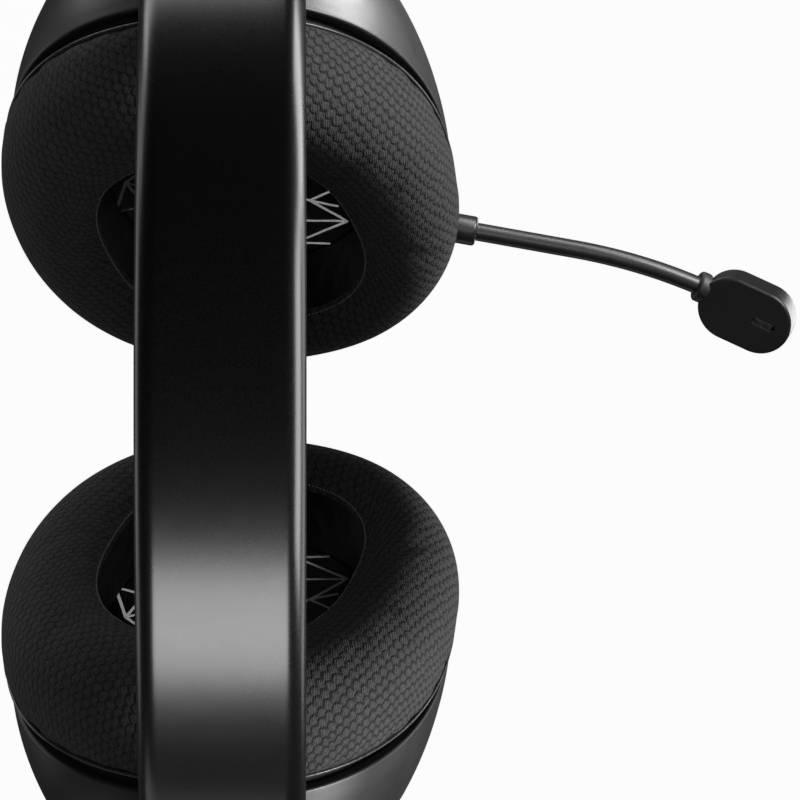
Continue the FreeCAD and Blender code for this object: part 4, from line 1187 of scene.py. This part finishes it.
def riders(bodies, names=()):
    """The pieces on some bodies, or only those of them whose names start as given."""
    found = [piece for body in bodies for piece in frame["bodies"][body].children]
    return [p for p in found if not names or p.name.startswith(tuple(names))]


def softbox(name, direction, distance, size, power, target=(0, 0, -0.09), only=()):
    """A rectangular area light that faces the target from a direction; only limits it to some pieces."""
    light = bpy.data.lights.new(name, "AREA")
    light.shape = "RECTANGLE"
    light.size, light.size_y = size
    light.energy = power
    holder = bpy.data.objects.new(name, light)
    bpy.context.scene.collection.objects.link(holder)
    toward = Vector(direction).normalized()
    holder.location = Vector(target) + toward * distance
    holder.rotation_euler = (-toward).to_track_quat("-Z", "Y").to_euler()
    holder.visible_camera = False
    if only:
        group = bpy.data.collections.new(name + "_pieces")
        for piece in only:
            group.objects.link(piece)
        holder.light_linking.receiver_collection = group
    return holder


CONTROLS = ["volume_wheel", "power_button", "mute_button"]
LEFT_SIDE = ["arm_left", "fork_left", "cup_left", "microphone"] + CONTROLS
RIGHT_SIDE = ["arm_right", "fork_right", "cup_right"]
LEFT_CUP = (0.045, 0, -0.13)
RIGHT_CUP = (-0.045, 0, -0.13)


def build_studio():
    """Dim room, soft keys for each cup, the band and the microphone, and low light bounced from below."""
    world = bpy.data.worlds.new("studio")
    bpy.context.scene.world = world
    world.use_nodes = True
    background = world.node_tree.nodes["Background"].inputs
    background["Color"].default_value = (1, 1, 1, 1)
    background["Strength"].default_value = 0.02
    softbox("left_key", (0.6, -0.8, 0.6), 1.1, (0.45, 0.45), 19, LEFT_CUP, riders(LEFT_SIDE))
    softbox("right_key", (-0.5, -0.9, 0.5), 1.1, (0.45, 0.45), 19, RIGHT_CUP, riders(RIGHT_SIDE))
    softbox("overhead", (0, 0, 1), 1.6, (0.5, 0.5), 4.5, (0, 0, -0.09), riders(LEFT_SIDE + RIGHT_SIDE))
    casings = ["cup_body", "outer_cap"]
    softbox("left_rim", (0.72, -0.62, -0.3), 1.2, (0.5, 0.5), 21, LEFT_CUP, riders(["cup_left"], casings))
    softbox("right_rim", (-0.75, -0.75, 0.15), 1.2, (0.5, 0.5), 10, RIGHT_CUP, riders(["cup_right"], casings))
    for side, along in (("left", 0.4), ("right", -0.4)):
        lines = riders([f"cup_{side}"], ["cloth_lines"])
        softbox(f"opening_light_{side}", (0, along, 1), 1.2, (0.3, 0.3), 18, (0, 0, -0.11), lines)
    softbox("mic_light", (0.05, -0.6, -0.8), 1.2, (0.7, 0.7), 9, (0.02, -0.1, -0.17), riders(["microphone"]))
    tubes = riders(["microphone"], ["boom_"])
    softbox("boom_light", (0.95, -0.3, 0.35), 1.2, (0.5, 0.5), 9, (0.03, -0.06, -0.17), tubes)
    band = riders(["headband"])
    softbox("band_key", (-0.78, 0.0, 0.62), 1.3, (0.9, 0.66), 19, (0, 0, -0.09), band)
    softbox("band_strip", (0.0, -1.0, 0.22), 1.2, (1.2, 0.7), 26, (0, 0, -0.05), band)
    softbox("band_strip_left", (0.6, -0.8, -0.3), 1.2, (0.8, 0.6), 13, (0.04, 0, -0.05), band)
    softbox("band_back_left", (0.6, 0.8, -0.3), 1.2, (0.6, 0.4), 1.2, (0.04, 0, -0.05), band)
    for name, direction, power in (("back", (0, 1), 2.5), ("left", (1, 0.4), 6), ("right", (-1, 0.3), 1.5),
                                   ("front", (0, -1), 5)):
        softbox(name + "_bounce", (*direction, -0.55), 1.4, (1.2, 0.6), power)
    bpy.context.scene.view_settings.view_transform = "Standard"


def build_camera():
    data = bpy.data.cameras.new("camera")
    data.lens = LENS
    data.sensor_width = SENSOR
    data.clip_start = 0.05
    data.clip_end = 20
    camera = bpy.data.objects.new("camera", data)
    bpy.context.scene.collection.objects.link(camera)
    back = Vector((0, math.sin(CAMERA_TILT), math.cos(CAMERA_TILT)))
    up = Vector((1, 0, 0))
    camera.rotation_euler = Matrix((up.cross(back), up, back)).transposed().to_euler()
    camera.location = Vector((0, CAMERA_Y, CROWN_TOP + CAMERA_ABOVE_CROWN)) * MM
    bpy.context.scene.camera = camera


# ================= build =================

build_camera()
build_floor()
dress_cad_nodes()
build_band_cover()
build_crown_pad()
for side in SIDES:
    build_shell(side)
    build_outer_plate(side)
    build_ear_pad(side)
    build_piping(side)
    build_stitches(side)
    build_scrim(side)
    build_scrim_lines(side)
build_collar()
build_boom()
build_neck()
build_capsule()
build_studio()
